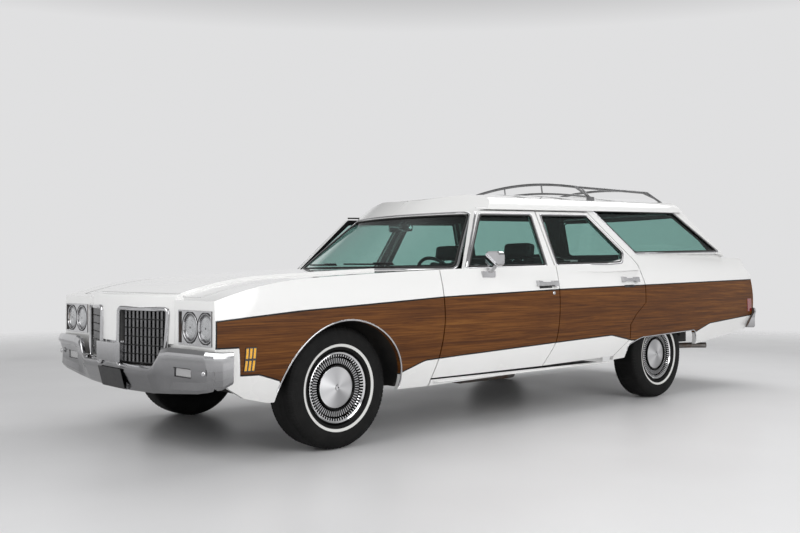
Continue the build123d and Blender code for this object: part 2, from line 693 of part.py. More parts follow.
# ---------------------------------------------------------------- floor
FLOOR_START = FIREWALL_STATION + FLOOR + SEAM
FLOOR_STEP = 2405.0
FLOOR_END = 4606.0
with BuildPart() as floor:
    with BuildSketch(Plane.XZ.offset(-y_at(FLOOR_START))):
        with BuildLine():
            Polyline((-FLOOR_HALF, FLOOR_Z), (-TUNNEL_HALF, FLOOR_Z),
                     (-TUNNEL_HALF + 30, TUNNEL_TOP), (TUNNEL_HALF - 30, TUNNEL_TOP),
                     (TUNNEL_HALF, FLOOR_Z), (FLOOR_HALF, FLOOR_Z),
                     (FLOOR_HALF, FLOOR_Z + FLOOR), (TUNNEL_HALF + 12, FLOOR_Z + FLOOR),
                     (TUNNEL_HALF - 18, TUNNEL_TOP + FLOOR),
                     (18 - TUNNEL_HALF, TUNNEL_TOP + FLOOR),
                     (-TUNNEL_HALF - 12, FLOOR_Z + FLOOR), (-FLOOR_HALF, FLOOR_Z + FLOOR),
                     close=True)
        make_face()
    extrude(amount=-(FLOOR_STEP + 5 - FLOOR_START))
    # step up under the rear seat, then the load floor over the axle
    add(block((-FLOOR_HALF, FLOOR_HALF), (FLOOR_STEP, FLOOR_STEP + FLOOR),
              (FLOOR_Z, LOAD_FLOOR_Z + FLOOR)))
    add(block((-TUNNEL_HALF + 20, TUNNEL_HALF - 20), (FLOOR_STEP - 20, FLOOR_STEP + 40),
              (200, TUNNEL_TOP)), mode=Mode.SUBTRACT)
    add(block((-FLOOR_HALF, FLOOR_HALF), (FLOOR_STEP, FLOOR_END),
              (LOAD_FLOOR_Z, LOAD_FLOOR_Z + FLOOR)))
    # wheelhouses over the rear tyres
    for side in (1, -1):
        x_from, x_to = (640, 865) if side > 0 else (-865, -640)
        add(cross_cylinder(WHEELBASE, TYRE_RADIUS, 442, x_from, x_to))
    for side in (1, -1):
        x_from, x_to = (652, 900) if side > 0 else (-900, -652)
        add(cross_cylinder(WHEELBASE, TYRE_RADIUS, 430, x_from, x_to), mode=Mode.SUBTRACT)
        add(block((min(x_from, x_to) - 20, max(x_from, x_to) + 20), (2700, 3750), (-200, 470)),
            mode=Mode.SUBTRACT)
        add(tyre_space(side), mode=Mode.SUBTRACT)
save(floor.part, "floor_pan")


# ---------------------------------------------------------------- perimeter frame
RAIL_FRONT_X = (380.0, 455.0)
RAIL_SIDE_X = (655.0, 735.0)
RAIL_REAR_X = (500.0, 575.0)
BUMPER_SEAT_FRONT = -826.0   # bumper face that the frame horns carry
BUMPER_SEAT_REAR = 4646.0
AXLE_ARM_Z = 262.0           # lower ball joint
UPPER_ARM_Z = 455.0
ARM_THICK = 22.0

with BuildPart() as frame_half:
    # horn and front rail, side rail under the sill, rear rail over the axle
    add(side_prism([(BUMPER_SEAT_FRONT + 0.3, 385), (BUMPER_SEAT_FRONT + 0.3, 465), (520, 465),
                    (640, 362), (640, 290), (500, 370), (-300, 370)], *RAIL_FRONT_X))
    add(block((RAIL_FRONT_X[0], RAIL_SIDE_X[1]), (560, 640), (290, 362)))
    add(block(RAIL_SIDE_X, (560, 2400), (290, 362)))
    add(block((RAIL_REAR_X[0], RAIL_SIDE_X[1]), (2330, 2400), (290, 362)))
    add(side_prism([(2330, 290), (2330, 362), (2440, 362), (2760, 600), (3700, 600),
                    (3960, 560), (BUMPER_SEAT_REAR - 0.3, 560), (BUMPER_SEAT_REAR - 0.3, 480),
                    (3930, 480), (3690, 520), (2800, 520), (2480, 290)], *RAIL_REAR_X))
    # half crossmembers: front suspension, gearbox, rear kick-up, tail
    add(block((-1, RAIL_FRONT_X[1]), (-110, 110), (228, 372)))
    add(block((-1, RAIL_SIDE_X[0] + 5), (1240, 1310), (292, 340)))
    add(block((-1, RAIL_REAR_X[0] + 5), (2700, 2760), (520, 580)))
    add(block((-1, RAIL_REAR_X[0] + 5), (4440, 4500), (490, 550)))
    # control arms with their ball joint pads at the kingpin
    for low, spread in ((AXLE_ARM_Z - ARM_THICK, 150), (UPPER_ARM_Z, 110)):
        add(plan_prism([(430, -spread), (430, -spread + 60), (600, -22), (600, 22),
                        (430, spread - 60), (430, spread), (KINGPIN_X, 30),
                        (KINGPIN_X + 24, 0), (KINGPIN_X, -30)], low, low + ARM_THICK))
with BuildPart() as frame:
    add(frame_half.part)
    add(frame_half.part.mirror(Plane.YZ))
    # spring towers join the upper arms to the rails
    for side in (1, -1):
        add(block((min(side * 400, side * 450), max(side * 400, side * 450)),
                  (-110, 110), (440, 480)))
save(frame.part, "chassis_frame")

# ---------------------------------------------------------------- wheels, tyres, knuckles
RIM_HALF = 86.0
DRUM_RADIUS = 140.0
SPINDLE_RADIUS = 18.0
KNUCKLE_GAP = 0.4

with BuildPart() as knuckle:
    with BuildSketch(Plane.XY.offset(AXLE_ARM_Z + KNUCKLE_GAP)):
        with Locations((KINGPIN_X, y_at(0))):
            Circle(21)
    extrude(amount=UPPER_ARM_Z - AXLE_ARM_Z - 2 * KNUCKLE_GAP)
    add(cross_cylinder(0, TYRE_RADIUS, 128, KINGPIN_X + 26, KINGPIN_X + 34))
    add(cross_cylinder(0, TYRE_RADIUS, 34, KINGPIN_X, KINGPIN_X + 34))
    add(cross_cylinder(0, TYRE_RADIUS, SPINDLE_RADIUS, KINGPIN_X, TRACK_HALF + 30))
for side, solid in zip(("left", "right"), both_sides(knuckle.part)):
    save(solid, "knuckle_" + side)

AXLE_TUBE = 42.0
with BuildPart() as rear_axle:
    add(cross_cylinder(WHEELBASE, TYRE_RADIUS, AXLE_TUBE, -(KINGPIN_X + 26), KINGPIN_X + 26))
    for side in (1, -1):
        x_from = KINGPIN_X + 20 if side > 0 else -(KINGPIN_X + 30)
        add(cross_cylinder(WHEELBASE, TYRE_RADIUS, 128, x_from, x_from + 10))
        x_from = KINGPIN_X if side > 0 else -(TRACK_HALF + 30)
        add(cross_cylinder(WHEELBASE, TYRE_RADIUS, SPINDLE_RADIUS,
                           x_from, x_from + TRACK_HALF + 30 - KINGPIN_X))
        # leaf spring pads that the axle hangs from
        x_low = 505 if side > 0 else -570
        add(block((x_low, x_low + 65), (WHEELBASE - 45, WHEELBASE + 45), (TYRE_RADIUS, 520 - SEAM)))
    with BuildSketch(Plane.YZ.offset(-120)):
        with Locations((y_at(WHEELBASE), TYRE_RADIUS)):
            Circle(90)
    with BuildSketch(Plane.YZ.offset(0)):
        with Locations((y_at(WHEELBASE), TYRE_RADIUS)):
            Circle(140)
    loft()
    with BuildSketch(Plane.YZ.offset(0)):
        with Locations((y_at(WHEELBASE), TYRE_RADIUS)):
            Circle(140)
    with BuildSketch(Plane.YZ.offset(120)):
        with Locations((y_at(WHEELBASE), TYRE_RADIUS)):
            Circle(90)
    loft()
    # propeller shaft forward to the gearbox
    with BuildSketch(Plane.XZ.offset(-y_at(1215))):
        with Locations((0, 385)):
            Circle(36)
    extrude(amount=-(WHEELBASE - 1215 - 60))
save(rear_axle.part, "rear_axle")

# tyre section: (distance from the wheel's centre plane, radius)
SIDEWALL = [(82, 200), (100, 222), (108, 248), (TYRE_HALF_WIDTH, 272), (107, 296),
            (101, 316), (90, 333), (78, 340), (50, 343.6)]
TYRE_SECTION = [(-x, radius) for x, radius in SIDEWALL] + [(0, TYRE_RADIUS)] + \
    list(reversed(SIDEWALL))
RIM_SECTION = [(-RIM_HALF + 2, 186), (-RIM_HALF + 2, 199.5), (-40, 199.5), (-30, 182), (30, 182),
               (40, 199.5), (RIM_HALF, 199.5), (RIM_HALF + 6, 210), (RIM_HALF + 9, 206),
               (RIM_HALF - 4, 186), (60, 176), (30, 168), (-30, 168), (-40, 184)]


def wheel_plane(x_centre, station, outward):
    """Radial plane through a wheel: local x runs outwards, local y is the radius."""
    return Plane(origin=(x_centre, y_at(station), TYRE_RADIUS), x_dir=(outward, 0, 0),
                 z_dir=(0, -outward, 0))


WHEELS = [
    # name, station, side
    ("front_left", 0.0, 1),
    ("front_right", 0.0, -1),
    ("rear_left", WHEELBASE, 1),
    ("rear_right", WHEELBASE, -1),
]
for place, station, side in WHEELS:
    hub_axis = Axis((side * TRACK_HALF, y_at(station), TYRE_RADIUS), (1, 0, 0))
    radial = wheel_plane(side * TRACK_HALF, station, side)
    with BuildPart() as tyre:
        with BuildSketch(radial):
            with BuildLine():
                Polyline(*TYRE_SECTION, close=True)
            make_face()
        revolve(axis=hub_axis)
    save(tyre.part, "tyre_" + place)
    with BuildPart() as wheel:
        with BuildSketch(radial):
            with BuildLine():
                Polyline(*RIM_SECTION, close=True)
            make_face()
        revolve(axis=hub_axis)
        # disc, brake drum and the domed cover that hides the disc
        with BuildSketch(radial):
            with BuildLine():
                Polyline((-46, SPINDLE_RADIUS + 0.5), (-46, DRUM_RADIUS - 6),
                         (-52, DRUM_RADIUS - 6), (-52, DRUM_RADIUS), (10, DRUM_RADIUS),
                         (26, 178), (34, 178), (52, 196), (74, 197), (82, 194), (86, 184),
                         (84, 174), (76, 168), (66, 165), (66, 133), (76, 131), (82, 127),
                         (82, 121), (74, 116), (88, 18), (94, 16), (94, 0), (40, 0),
                         (40, SPINDLE_RADIUS + 0.5), close=True)
            make_face()
        revolve(axis=hub_axis)
    save(wheel.part, "wheel_" + place)


# ---------------------------------------------------------------- bumpers
NOSE_END = -955.0
TAIL_END = 4768.0
BODY_CLEAR = 6.0
BUMPER_WALL = 24.0
PARK_LAMP_X = (640.0, 800.0)
PARK_LAMP_Z = (450.0, 500.0)
PARK_LAMP_BACK = -836.0
PLATE_HOLE_PITCH = 177.8
PLATE_HOLE_RADIUS = 3.5
PLATE_HOLE_Z = 400.0
PLATE_HOLE_DEPTH = 24.0
PLATE_PAD_STATION = -898.0
PLATE_HALF = 152.5
BRACKET_REACH = 52.0


def bumper_section(top, bottom, bead, hollow, lean):
    """Section as (outwards, height): rolled top, bead, hollow face and lower lip."""
    def at(share):
        return bottom + share * (top - bottom)

    return [(-BUMPER_WALL, top - 3), (-5, top), (0, at(0.975)), (0.75 * bead, at(0.9)),
            (bead, at(0.84)), (0.75 * bead, at(0.78)), (0, at(0.71)),
            (-hollow - 0.3 * lean, at(0.5)), (-0.6 * hollow - 0.65 * lean, at(0.26)),
            (-lean, at(0.08)), (-lean - 8, bottom), (-lean - BUMPER_WALL, bottom + 4),
            (-hollow - 0.4 * lean - BUMPER_WALL, at(0.45))]


def bumper_bar(rows, facing):
    """Half bar lofted from the centre line outwards, then mirrored."""
    with BuildPart() as half:
        for x, station, turn, *shape in rows:
            normal = (sin(radians(turn)), facing * cos(radians(turn)), 0)
            with BuildSketch(Plane(origin=(x, y_at(station), 0), x_dir=normal,
                                   z_dir=(normal[1], -normal[0], 0))):
                with BuildLine():
                    Polyline(*bumper_section(*shape), close=True)
                make_face()
        loft(ruled=True)
    with BuildPart() as bar:
        add(both_sides(half.part))
    return bar.part


FRONT_BAR = [
    # x, station, turn of the outward face, top, bottom, bead, hollow, lean of the lower face
    (0, -926, 0, 496, 334, 1, 1, 40),
    (150, -922, 3, 484, 334, 1, 1, 40),
    (420, -905, 4, 478, 340, 1, 1, 36),
    (470, -899, 5, 500, 345, 2, 3, 32),
    (540, -888, 5, 588, 350, 11, 8, 24),
    (620, -879, 4, 600, 357, 15, 13, 16),
    (860, -862, 5, 600, 378, 15, 13, 12),
    (HALF_WIDTH - 62, -852, 18, 597, 392, 13, 10, 10),
    (HALF_WIDTH - 27, -824, 50, 593, 400, 9, 6, 6),
    (HALF_WIDTH - 12, -780, 80, 590, 405, 5, 3, 3),
    (HALF_WIDTH - 8, -722, 88, 588, 430, 1, 1, 2),
]
REAR_BAR = [
    (0, TAIL_END - 13, 0, 690, 500, 13, 8, 14),
    (620, TAIL_END - 16, 1, 690, 500, 13, 8, 14),
    (880, TAIL_END - 22, 5, 688, 500, 12, 8, 12),
    (HALF_WIDTH - 42, TAIL_END - 30, 30, 686, 502, 9, 6, 8),
    (HALF_WIDTH - 12, TAIL_END - 70, 62, 682, 506, 6, 3, 4),
    (HALF_WIDTH - 8, 4520, 88, 674, 520, 1, 1, 2),
]
with BuildPart() as bumper_front:
    add(bumper_bar(FRONT_BAR, -1))
    add(block((-976, 976), (NOSE_STATION - BODY_CLEAR, -600), (300, 900)), mode=Mode.SUBTRACT)
    # raised block at the centre line
    with BuildPart() as centre_block:
        add(plan_prism([(-134, -900), (-134, -930), (-124, NOSE_END), (124, NOSE_END),
                        (134, -930), (134, -900)], 492, 600))
        fillet([edge for edge in centre_block.edges()
                if edge.center().Y < y_at(NOSE_END) + 1], 6)
    add(centre_block.part)
    # flat pad for the number plate below it, and brackets to the frame horns
    add(block((-PLATE_HALF, PLATE_HALF), (PLATE_PAD_STATION, -870), (338, 456)))
    for side in (1, -1):
        x_range = tuple(sorted((side * RAIL_FRONT_X[0], side * RAIL_FRONT_X[1])))
        add(block(x_range, (BUMPER_SEAT_FRONT - BRACKET_REACH, BUMPER_SEAT_FRONT), (388, 424)))
        lamp_x = tuple(sorted((side * PARK_LAMP_X[0], side * PARK_LAMP_X[1])))
        add(block(lamp_x, (-1000, PARK_LAMP_BACK), PARK_LAMP_Z), mode=Mode.SUBTRACT)
    with BuildSketch(Plane.XZ.offset(-y_at(PLATE_PAD_STATION))):
        with Locations((-PLATE_HOLE_PITCH / 2, PLATE_HOLE_Z), (PLATE_HOLE_PITCH / 2, PLATE_HOLE_Z)):
            Circle(PLATE_HOLE_RADIUS)
    extrude(amount=-PLATE_HOLE_DEPTH, mode=Mode.SUBTRACT)
save(bumper_front.part, "bumper_front")

with BuildPart() as bumper_rear:
    add(bumper_bar(REAR_BAR, 1))
    add(block((-978, 978), (4000, 4702 + BODY_CLEAR), (400, 900)), mode=Mode.SUBTRACT)
    # the wrapped ends slope down and forwards under the side markers
    add(side_prism([(4400, 400), (4530, 505), (4674, 640), (4674, 800), (4400, 800)],
                   -1100, 1100), mode=Mode.SUBTRACT)
    for side in (1, -1):
        x_range = tuple(sorted((side * RAIL_REAR_X[0], side * RAIL_REAR_X[1])))
        add(block(x_range, (BUMPER_SEAT_REAR, 4732), (500, 550)))
save(bumper_rear.part, "bumper_rear")

# ---------------------------------------------------------------- grilles and lamps
BAR_WIDTH = 12.0
BAR_ROWS = [(492, 558), (566, 632), (640, 706), (714, 780)]
BAR_COUNT = 11
BAR_FIRST_X = 135.0
BAR_PITCH = 33.5
GRILLE_FACE = -804.0
GRILLE_BACK = -784.0
TRIM_WIDTH = 10.0           # bright frame round each grille opening
TRIM_PROUD = 3.5
LINER = 3.0                 # its wall inside the opening
with BuildPart() as grille_bars:
    for low, high in BAR_ROWS:
        for index in range(BAR_COUNT):
            x = BAR_FIRST_X + index * BAR_PITCH
            half = BAR_WIDTH / 2
            add(plan_prism([(x - half, GRILLE_BACK + 1), (x - half, GRILLE_FACE + 6),
                            (x - half + 3, GRILLE_FACE), (x + half - 3, GRILLE_FACE),
                            (x + half, GRILLE_FACE + 6), (x + half, GRILLE_BACK + 1)],
                           low, high))
    add(block((118.4, 476), (GRILLE_BACK + 0.4, -774), (486, 790)))
with BuildPart() as grille_trim:
    rim = front_prism(grown(GRILLE_OPENING, TRIM_WIDTH), -1000, -700) - \
        front_prism(grown(GRILLE_OPENING, -LINER), -1000, -700)
    add(rim & (nose_form(TRIM_PROUD) - nose_form(0)))
    add((rim & front_prism(grown(GRILLE_OPENING, -SEAM), -1000, -700)) & nose_form(0))

HEADLAMP_X = (708.0, 868.0)
HEADLAMP_Z = 703.0
HEADLAMP_RADIUS = 70.0
LAMP_SEAT = 0.3
BEZEL_FACE = -817.0
DISH_FACE = -808.0
with BuildPart() as bezel:
    # shallow tray with a dished ring round each lamp
    add(block((596.4, 942.6), (BEZEL_FACE, -790), (614.4, 791.6)))
    add(block((604, 935), (-900, DISH_FACE), (622, 784)), mode=Mode.SUBTRACT)
    for x in HEADLAMP_X:
        with Locations((x, y_at(DISH_FACE) + 6, HEADLAMP_Z)):
            Cone(HEADLAMP_RADIUS + 9, HEADLAMP_RADIUS + LAMP_SEAT, 12.02, rotation=(-90, 0, 0),
                 mode=Mode.SUBTRACT)
        with BuildSketch(Plane.XZ.offset(-y_at(-820))):
            with Locations((x, HEADLAMP_Z)):
                Circle(HEADLAMP_RADIUS + LAMP_SEAT)
        extrude(amount=-60, mode=Mode.SUBTRACT)
with BuildPart() as grilles:
    for piece in (grille_bars.part, grille_trim.part, bezel.part):
        add(both_sides(piece))
save(grilles.part, "grilles")

with BuildPart() as lamps:
    for side in (1, -1):
        for x in HEADLAMP_X:
            with BuildSketch(Plane.XZ.offset(-y_at(-800))):
                with Locations((side * x, HEADLAMP_Z)):
                    Circle(HEADLAMP_RADIUS)
            extrude(amount=-24)
            with Locations((side * x, y_at(-800) - 3.5, HEADLAMP_Z)):
                Cone(HEADLAMP_RADIUS, 36, 7, rotation=(90, 0, 0))
        near, far = PARK_LAMP_X[0] + 1, PARK_LAMP_X[1] - 1
        add(plan_prism([(side * near, -855), (side * far, -846), (side * far, PARK_LAMP_BACK - 0.4),
                        (side * near, PARK_LAMP_BACK - 0.4)],
                       PARK_LAMP_Z[0] + 1, PARK_LAMP_Z[1] - 1))
        add(side_prism([(4600, 700), (4710, 700), (4727, 800), (4735, 946), (4600, 946)],
                       *sorted((side * 774, side * 922))) - lower_profile(0, REACH))
    for s_range, z_range in (((-640, -575), (480, 606)), ((4588, 4664), (655, 768))):
        marks = block((500, 1100), s_range, z_range) + block((-1100, -500), s_range, z_range)
        add(marks & (side_form(-4) - side_form(-SEAM)))
save(lamps.part, "lamps")

# ---------------------------------------------------------------- roof rack and mirror
RACK_X = 545.0
RACK_FRONT = (2640.0, 1675.0)       # station and height of each side rail's ends
RACK_REAR = (3650.0, 1690.0)
RACK_TUBE = 11.0
RACK_ARCH = 52.0                    # rise of the cross bars
LEG = 9.0
with BuildPart() as rack:
    for side in (1, -1):
        x = side * RACK_X
        front_end, rear_end = (x, *RACK_FRONT), (x, *RACK_REAR)
        add(rod(front_end, rear_end, RACK_TUBE))
        for end in (front_end, rear_end):
            with Locations((end[0], y_at(end[1]), end[2])):
                Sphere(RACK_TUBE + 1)
        # legs slope out to the feet, with a web at each corner
        for end, foot in ((front_end, (side * 596, 2766, 1594)),
                          (rear_end, (side * 590, 3842, 1596))):
            add(rod(end, foot, LEG))
            add(block(tuple(sorted((foot[0] - 16, foot[0] + 16))),
                      (foot[1] - 30, foot[1] + 30), (foot[2] - 60, foot[2] + 6)))
        add(rod((x, RACK_FRONT[0] + 70, RACK_FRONT[1]), (side * 592, 2756, 1604), 6))
        add(rod((x, RACK_REAR[0] - 90, RACK_REAR[1]), (side * 574, 3780, 1632), 6))
    for s, z in (RACK_FRONT, RACK_REAR):
        add(arched_rod((-RACK_X, s, z), (0, s, z + RACK_ARCH), (RACK_X, s, z), RACK_TUBE))
    add(arched_rod((-596, 2750, 1598), (0, 2660, 1652), (596, 2750, 1598), 8))
    for x in (-200, 200):
        add(rod((x, RACK_FRONT[0], 1716), (x, RACK_FRONT[0] + 16, 1640), 6))
    add(house_outer.part, mode=Mode.SUBTRACT)
save(rack.part, "roof_rack")

with BuildPart() as mirror:
    with Locations((1000, y_at(1190), 1080)):
        Box(132, 46, 96)
    fillet(mirror.edges().filter_by(Axis.Y), 30)
    chamfer(mirror.faces().sort_by(Axis.Y)[0].edges(), 8)
    add(front_prism([(944, 990), (972, 990), (1016, 1040), (984, 1040)], 1168, 1208))
    add(block((940, 972), (1112, 1232), (960, 1000)))
    add(lower_outer.part, mode=Mode.SUBTRACT)
    add(frame_layer, mode=Mode.SUBTRACT)
save(mirror.part, "mirror_left")

# ---------------------------------------------------------------- inside of the car
COLUMN_ANGLE = 28.0
STEERING_CENTRE = (380.0, 1290.0, 925.0)
WHEEL_RIM = 190.0
with BuildPart() as dash:
    add(side_prism([(752, 640), (752, 1000), (1010, 1000), (1120, 925), (1096, 700),
                    (1000, 620)], -742, 742))
    add(lower_profile(SKIN + SEAM, REACH), mode=Mode.INTERSECT)
    column_dir = (0, cos(radians(COLUMN_ANGLE)), sin(radians(COLUMN_ANGLE)))
    column_base = (STEERING_CENTRE[0], y_at(STEERING_CENTRE[1]) - 300 * column_dir[1],
                   STEERING_CENTRE[2] - 300 * column_dir[2])
    with BuildSketch(Plane(origin=column_base, x_dir=(1, 0, 0), z_dir=column_dir)):
        Circle(24)
    extrude(amount=300 - 33.4)
save(dash.part, "dashboard")

with BuildPart() as steering:
    hub_plane = Plane(origin=(STEERING_CENTRE[0], y_at(STEERING_CENTRE[1]), STEERING_CENTRE[2]),
                      x_dir=(1, 0, 0), z_dir=column_dir)
    with BuildSketch(Plane(origin=hub_plane.origin, x_dir=(1, 0, 0),
                           z_dir=hub_plane.y_dir * -1)):
        with Locations((WHEEL_RIM, 0)):
            Circle(12)
    revolve(axis=Axis(hub_plane.origin, column_dir))
    with BuildSketch(hub_plane.offset(-33)):
        Circle(42)
    extrude(amount=40)
    with BuildSketch(hub_plane.offset(-12)):
        Rectangle(2 * WHEEL_RIM, 34)
    extrude(amount=10)
save(steering.part, "steering_wheel")

with BuildPart() as seats:
    # front bench, then the rear bench on the load floor's step
    add(side_prism([(1500, FLOOR_Z + FLOOR + SEAM), (1470, 600), (1490, 690), (2010, 650),
                    (2130, 1090), (2230, 1080), (2120, FLOOR_Z + FLOOR + SEAM)], -640, 640))
    for side in (1, -1):
        add(block(tuple(sorted((side * 240, side * 520))), (2090, 2190), (1094, 1215)))
        add(block(tuple(sorted((side * 370, side * 390))), (2130, 2150), (1080, 1100)))
    add(side_prism([(2460, LOAD_FLOOR_Z + FLOOR + SEAM), (2450, 780), (2910, 740), (3010, 1120),
                    (3110, 1110), (3020, LOAD_FLOOR_Z + FLOOR + SEAM)], -630, 630))
    add(block((-TUNNEL_HALF - 14, TUNNEL_HALF + 14), (1300, 2300), (0, TUNNEL_TOP + FLOOR + 1)),
        mode=Mode.SUBTRACT)
save(seats.part, "seats")

# ---------------------------------------------------------------- engine, exhaust, tank
with BuildPart() as engine:
    add(block((-290, 290), (-300, 480), (372 + SEAM, 850)))
    add(block((-150, 150), (480, 1200), (340 + SEAM, 460)))
save(engine.part, "engine")

EXHAUST_X = 300.0
PIPE = 24.0
with BuildPart() as exhaust:
    with BuildLine() as route:
        FilletPolyline((250, y_at(470), 372), (250, y_at(470), 250), (EXHAUST_X, y_at(1100), 250),
                       (EXHAUST_X, y_at(2500), 250), (400, y_at(2900), 452),
                       (400, y_at(3560), 452), (500, y_at(3880), 350), (640, y_at(4200), 350),
                       (727, y_at(4301), 350), radius=40)
    with BuildSketch(Plane(origin=route.line @ 0, z_dir=route.line % 0)):
        Circle(PIPE)
    sweep()
    # muffler, and the hanger under the frame rail
    with Locations((EXHAUST_X, y_at(1800), 250)):
        Box(200, 560, 110)
    fillet(exhaust.edges().filter_by(Axis.Y), 40)
    add(block((530, 556), (3960, 3990), (340, 480 - SEAM)))
save(exhaust.part, "exhaust")

with BuildPart() as tank:
    add(block((-430, 430), (3780, 4475), (360, 490 - SEAM)))
save(tank.part, "fuel_tank")

WHEELHOUSE = (15.0, 300.0, 458.0)   # station, height and inner radius of the front wheelhouse
HOOD_CLEAR = 10.0
with BuildPart() as front_inner:
    add(block((-510, 510), (-700, -672), (465 + SEAM, 900)))
    house_s, house_z, house_r = WHEELHOUSE
    for side in (1, -1):
        add(block(tuple(sorted((side * 496, side * 510))),
                  (-700, HOOD_REAR + PANEL_GAP - SEAM), (500, 1000)))
        x_from, x_to = (496, 1000) if side > 0 else (-1000, -496)
        add(cross_cylinder(house_s, house_z, house_r + 12, x_from, x_to) -
            cross_cylinder(house_s, house_z, house_r, -1000, 1000) -
            block((-1000, 1000), (-500, 500), (-300, 330)))
    add(side_form(SKIN + SEAM) & lower_profile(HOOD_THICK + HOOD_CLEAR, REACH, floor_drop=200),
        mode=Mode.INTERSECT)
save(front_inner.part, "inner_fenders")
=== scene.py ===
# %% [markdown]
# # Full-size station wagon
# The solids of the car come ready made from its CAD frame: panels, glass, frame, wheels.
# Here they get their finishes, and the small things that give a car its look are added:
# mouldings, window edges, tyre tread, lamp lenses and stitching.

# %% Load the frame
import bpy
import bmesh
import json
from math import atan2, cos, pi, radians, sin, sqrt
from mathutils import Matrix, Vector


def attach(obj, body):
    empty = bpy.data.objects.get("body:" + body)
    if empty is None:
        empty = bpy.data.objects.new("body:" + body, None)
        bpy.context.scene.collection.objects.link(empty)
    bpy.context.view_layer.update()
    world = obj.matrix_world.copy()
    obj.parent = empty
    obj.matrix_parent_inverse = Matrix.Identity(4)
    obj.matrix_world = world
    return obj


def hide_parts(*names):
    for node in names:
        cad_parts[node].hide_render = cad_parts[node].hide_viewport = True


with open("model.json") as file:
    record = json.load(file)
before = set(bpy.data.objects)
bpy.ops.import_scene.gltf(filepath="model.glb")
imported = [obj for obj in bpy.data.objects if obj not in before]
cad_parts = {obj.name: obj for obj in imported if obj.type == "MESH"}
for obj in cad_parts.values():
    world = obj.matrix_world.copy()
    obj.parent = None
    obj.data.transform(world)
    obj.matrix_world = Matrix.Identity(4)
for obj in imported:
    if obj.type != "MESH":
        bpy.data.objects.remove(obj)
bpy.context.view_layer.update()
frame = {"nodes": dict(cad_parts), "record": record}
nodes = frame["nodes"]
scene = bpy.context.scene

# %% [markdown]
# ## Camera
# A long car looks right through a camera at chest height, a few metres off one front corner.
# The horizon lies almost in the middle of the picture, so the camera hardly tilts.

# %% Camera
CAMERA_PLACE = (4.7958, -4.9028, 0.9636)
CAMERA_TURN = (radians(90.6752), 0.0, radians(48.3591))
LENS = 39.41
camera_data = bpy.data.cameras.new("camera")
camera_data.lens = LENS
camera_data.sensor_width = 36.0
camera = bpy.data.objects.new("camera", camera_data)
camera.location = CAMERA_PLACE
camera.rotation_euler = CAMERA_TURN
scene.collection.objects.link(camera)
scene.camera = camera
print("camera", CAMERA_PLACE, "lens", LENS)

# %% [markdown]
# ## Writing materials as sums
# A material is a chain of small nodes. Written out by hand it is long and hard to read, so
# a value on its way through the chain is wrapped in a class: adding or multiplying two such
# values adds the Math node that does it, and any other node comes from one method.

# %% The shader class
class Signal:
    """A number on its way through a material."""

    def __init__(self, recipe, socket):
        self.recipe = recipe
        self.socket = socket

    def math(self, operation, *others, clamp=False):
        settings = {"operation": operation, "use_clamp": clamp}
        inputs = {0: self}
        inputs.update({index + 1: other for index, other in enumerate(others)})
        return self.recipe.node("ShaderNodeMath", settings, inputs)

    def __add__(self, other): return self.math("ADD", other)
    def __radd__(self, other): return self.math("ADD", other)
    def __sub__(self, other): return self.math("SUBTRACT", other)
    def __rsub__(self, other): return self.recipe.number(other).math("SUBTRACT", self)
    def __mul__(self, other): return self.math("MULTIPLY", other)
    def __rmul__(self, other): return self.math("MULTIPLY", other)
    def __truediv__(self, other): return self.math("DIVIDE", other)
    def __rtruediv__(self, other): return self.recipe.number(other).math("DIVIDE", self)
    def __neg__(self): return self.math("MULTIPLY", -1.0)
    def __gt__(self, other): return self.math("GREATER_THAN", other)
    def __lt__(self, other): return self.math("LESS_THAN", other)
    def __abs__(self): return self.math("ABSOLUTE")
    def __pow__(self, other): return self.math("POWER", other)

    def least(self, other): return self.math("MINIMUM", other)
    def most(self, other): return self.math("MAXIMUM", other)
    def fract(self): return self.math("FRACT")
    def floor(self): return self.math("FLOOR")
    def sine(self): return self.math("SINE")
    def root(self): return self.math("SQRT")

    def ramp(self, low, high):
        """0 below low, 1 above high and straight between."""
        return ((self - low) / (high - low)).math("MULTIPLY", 1.0, clamp=True)


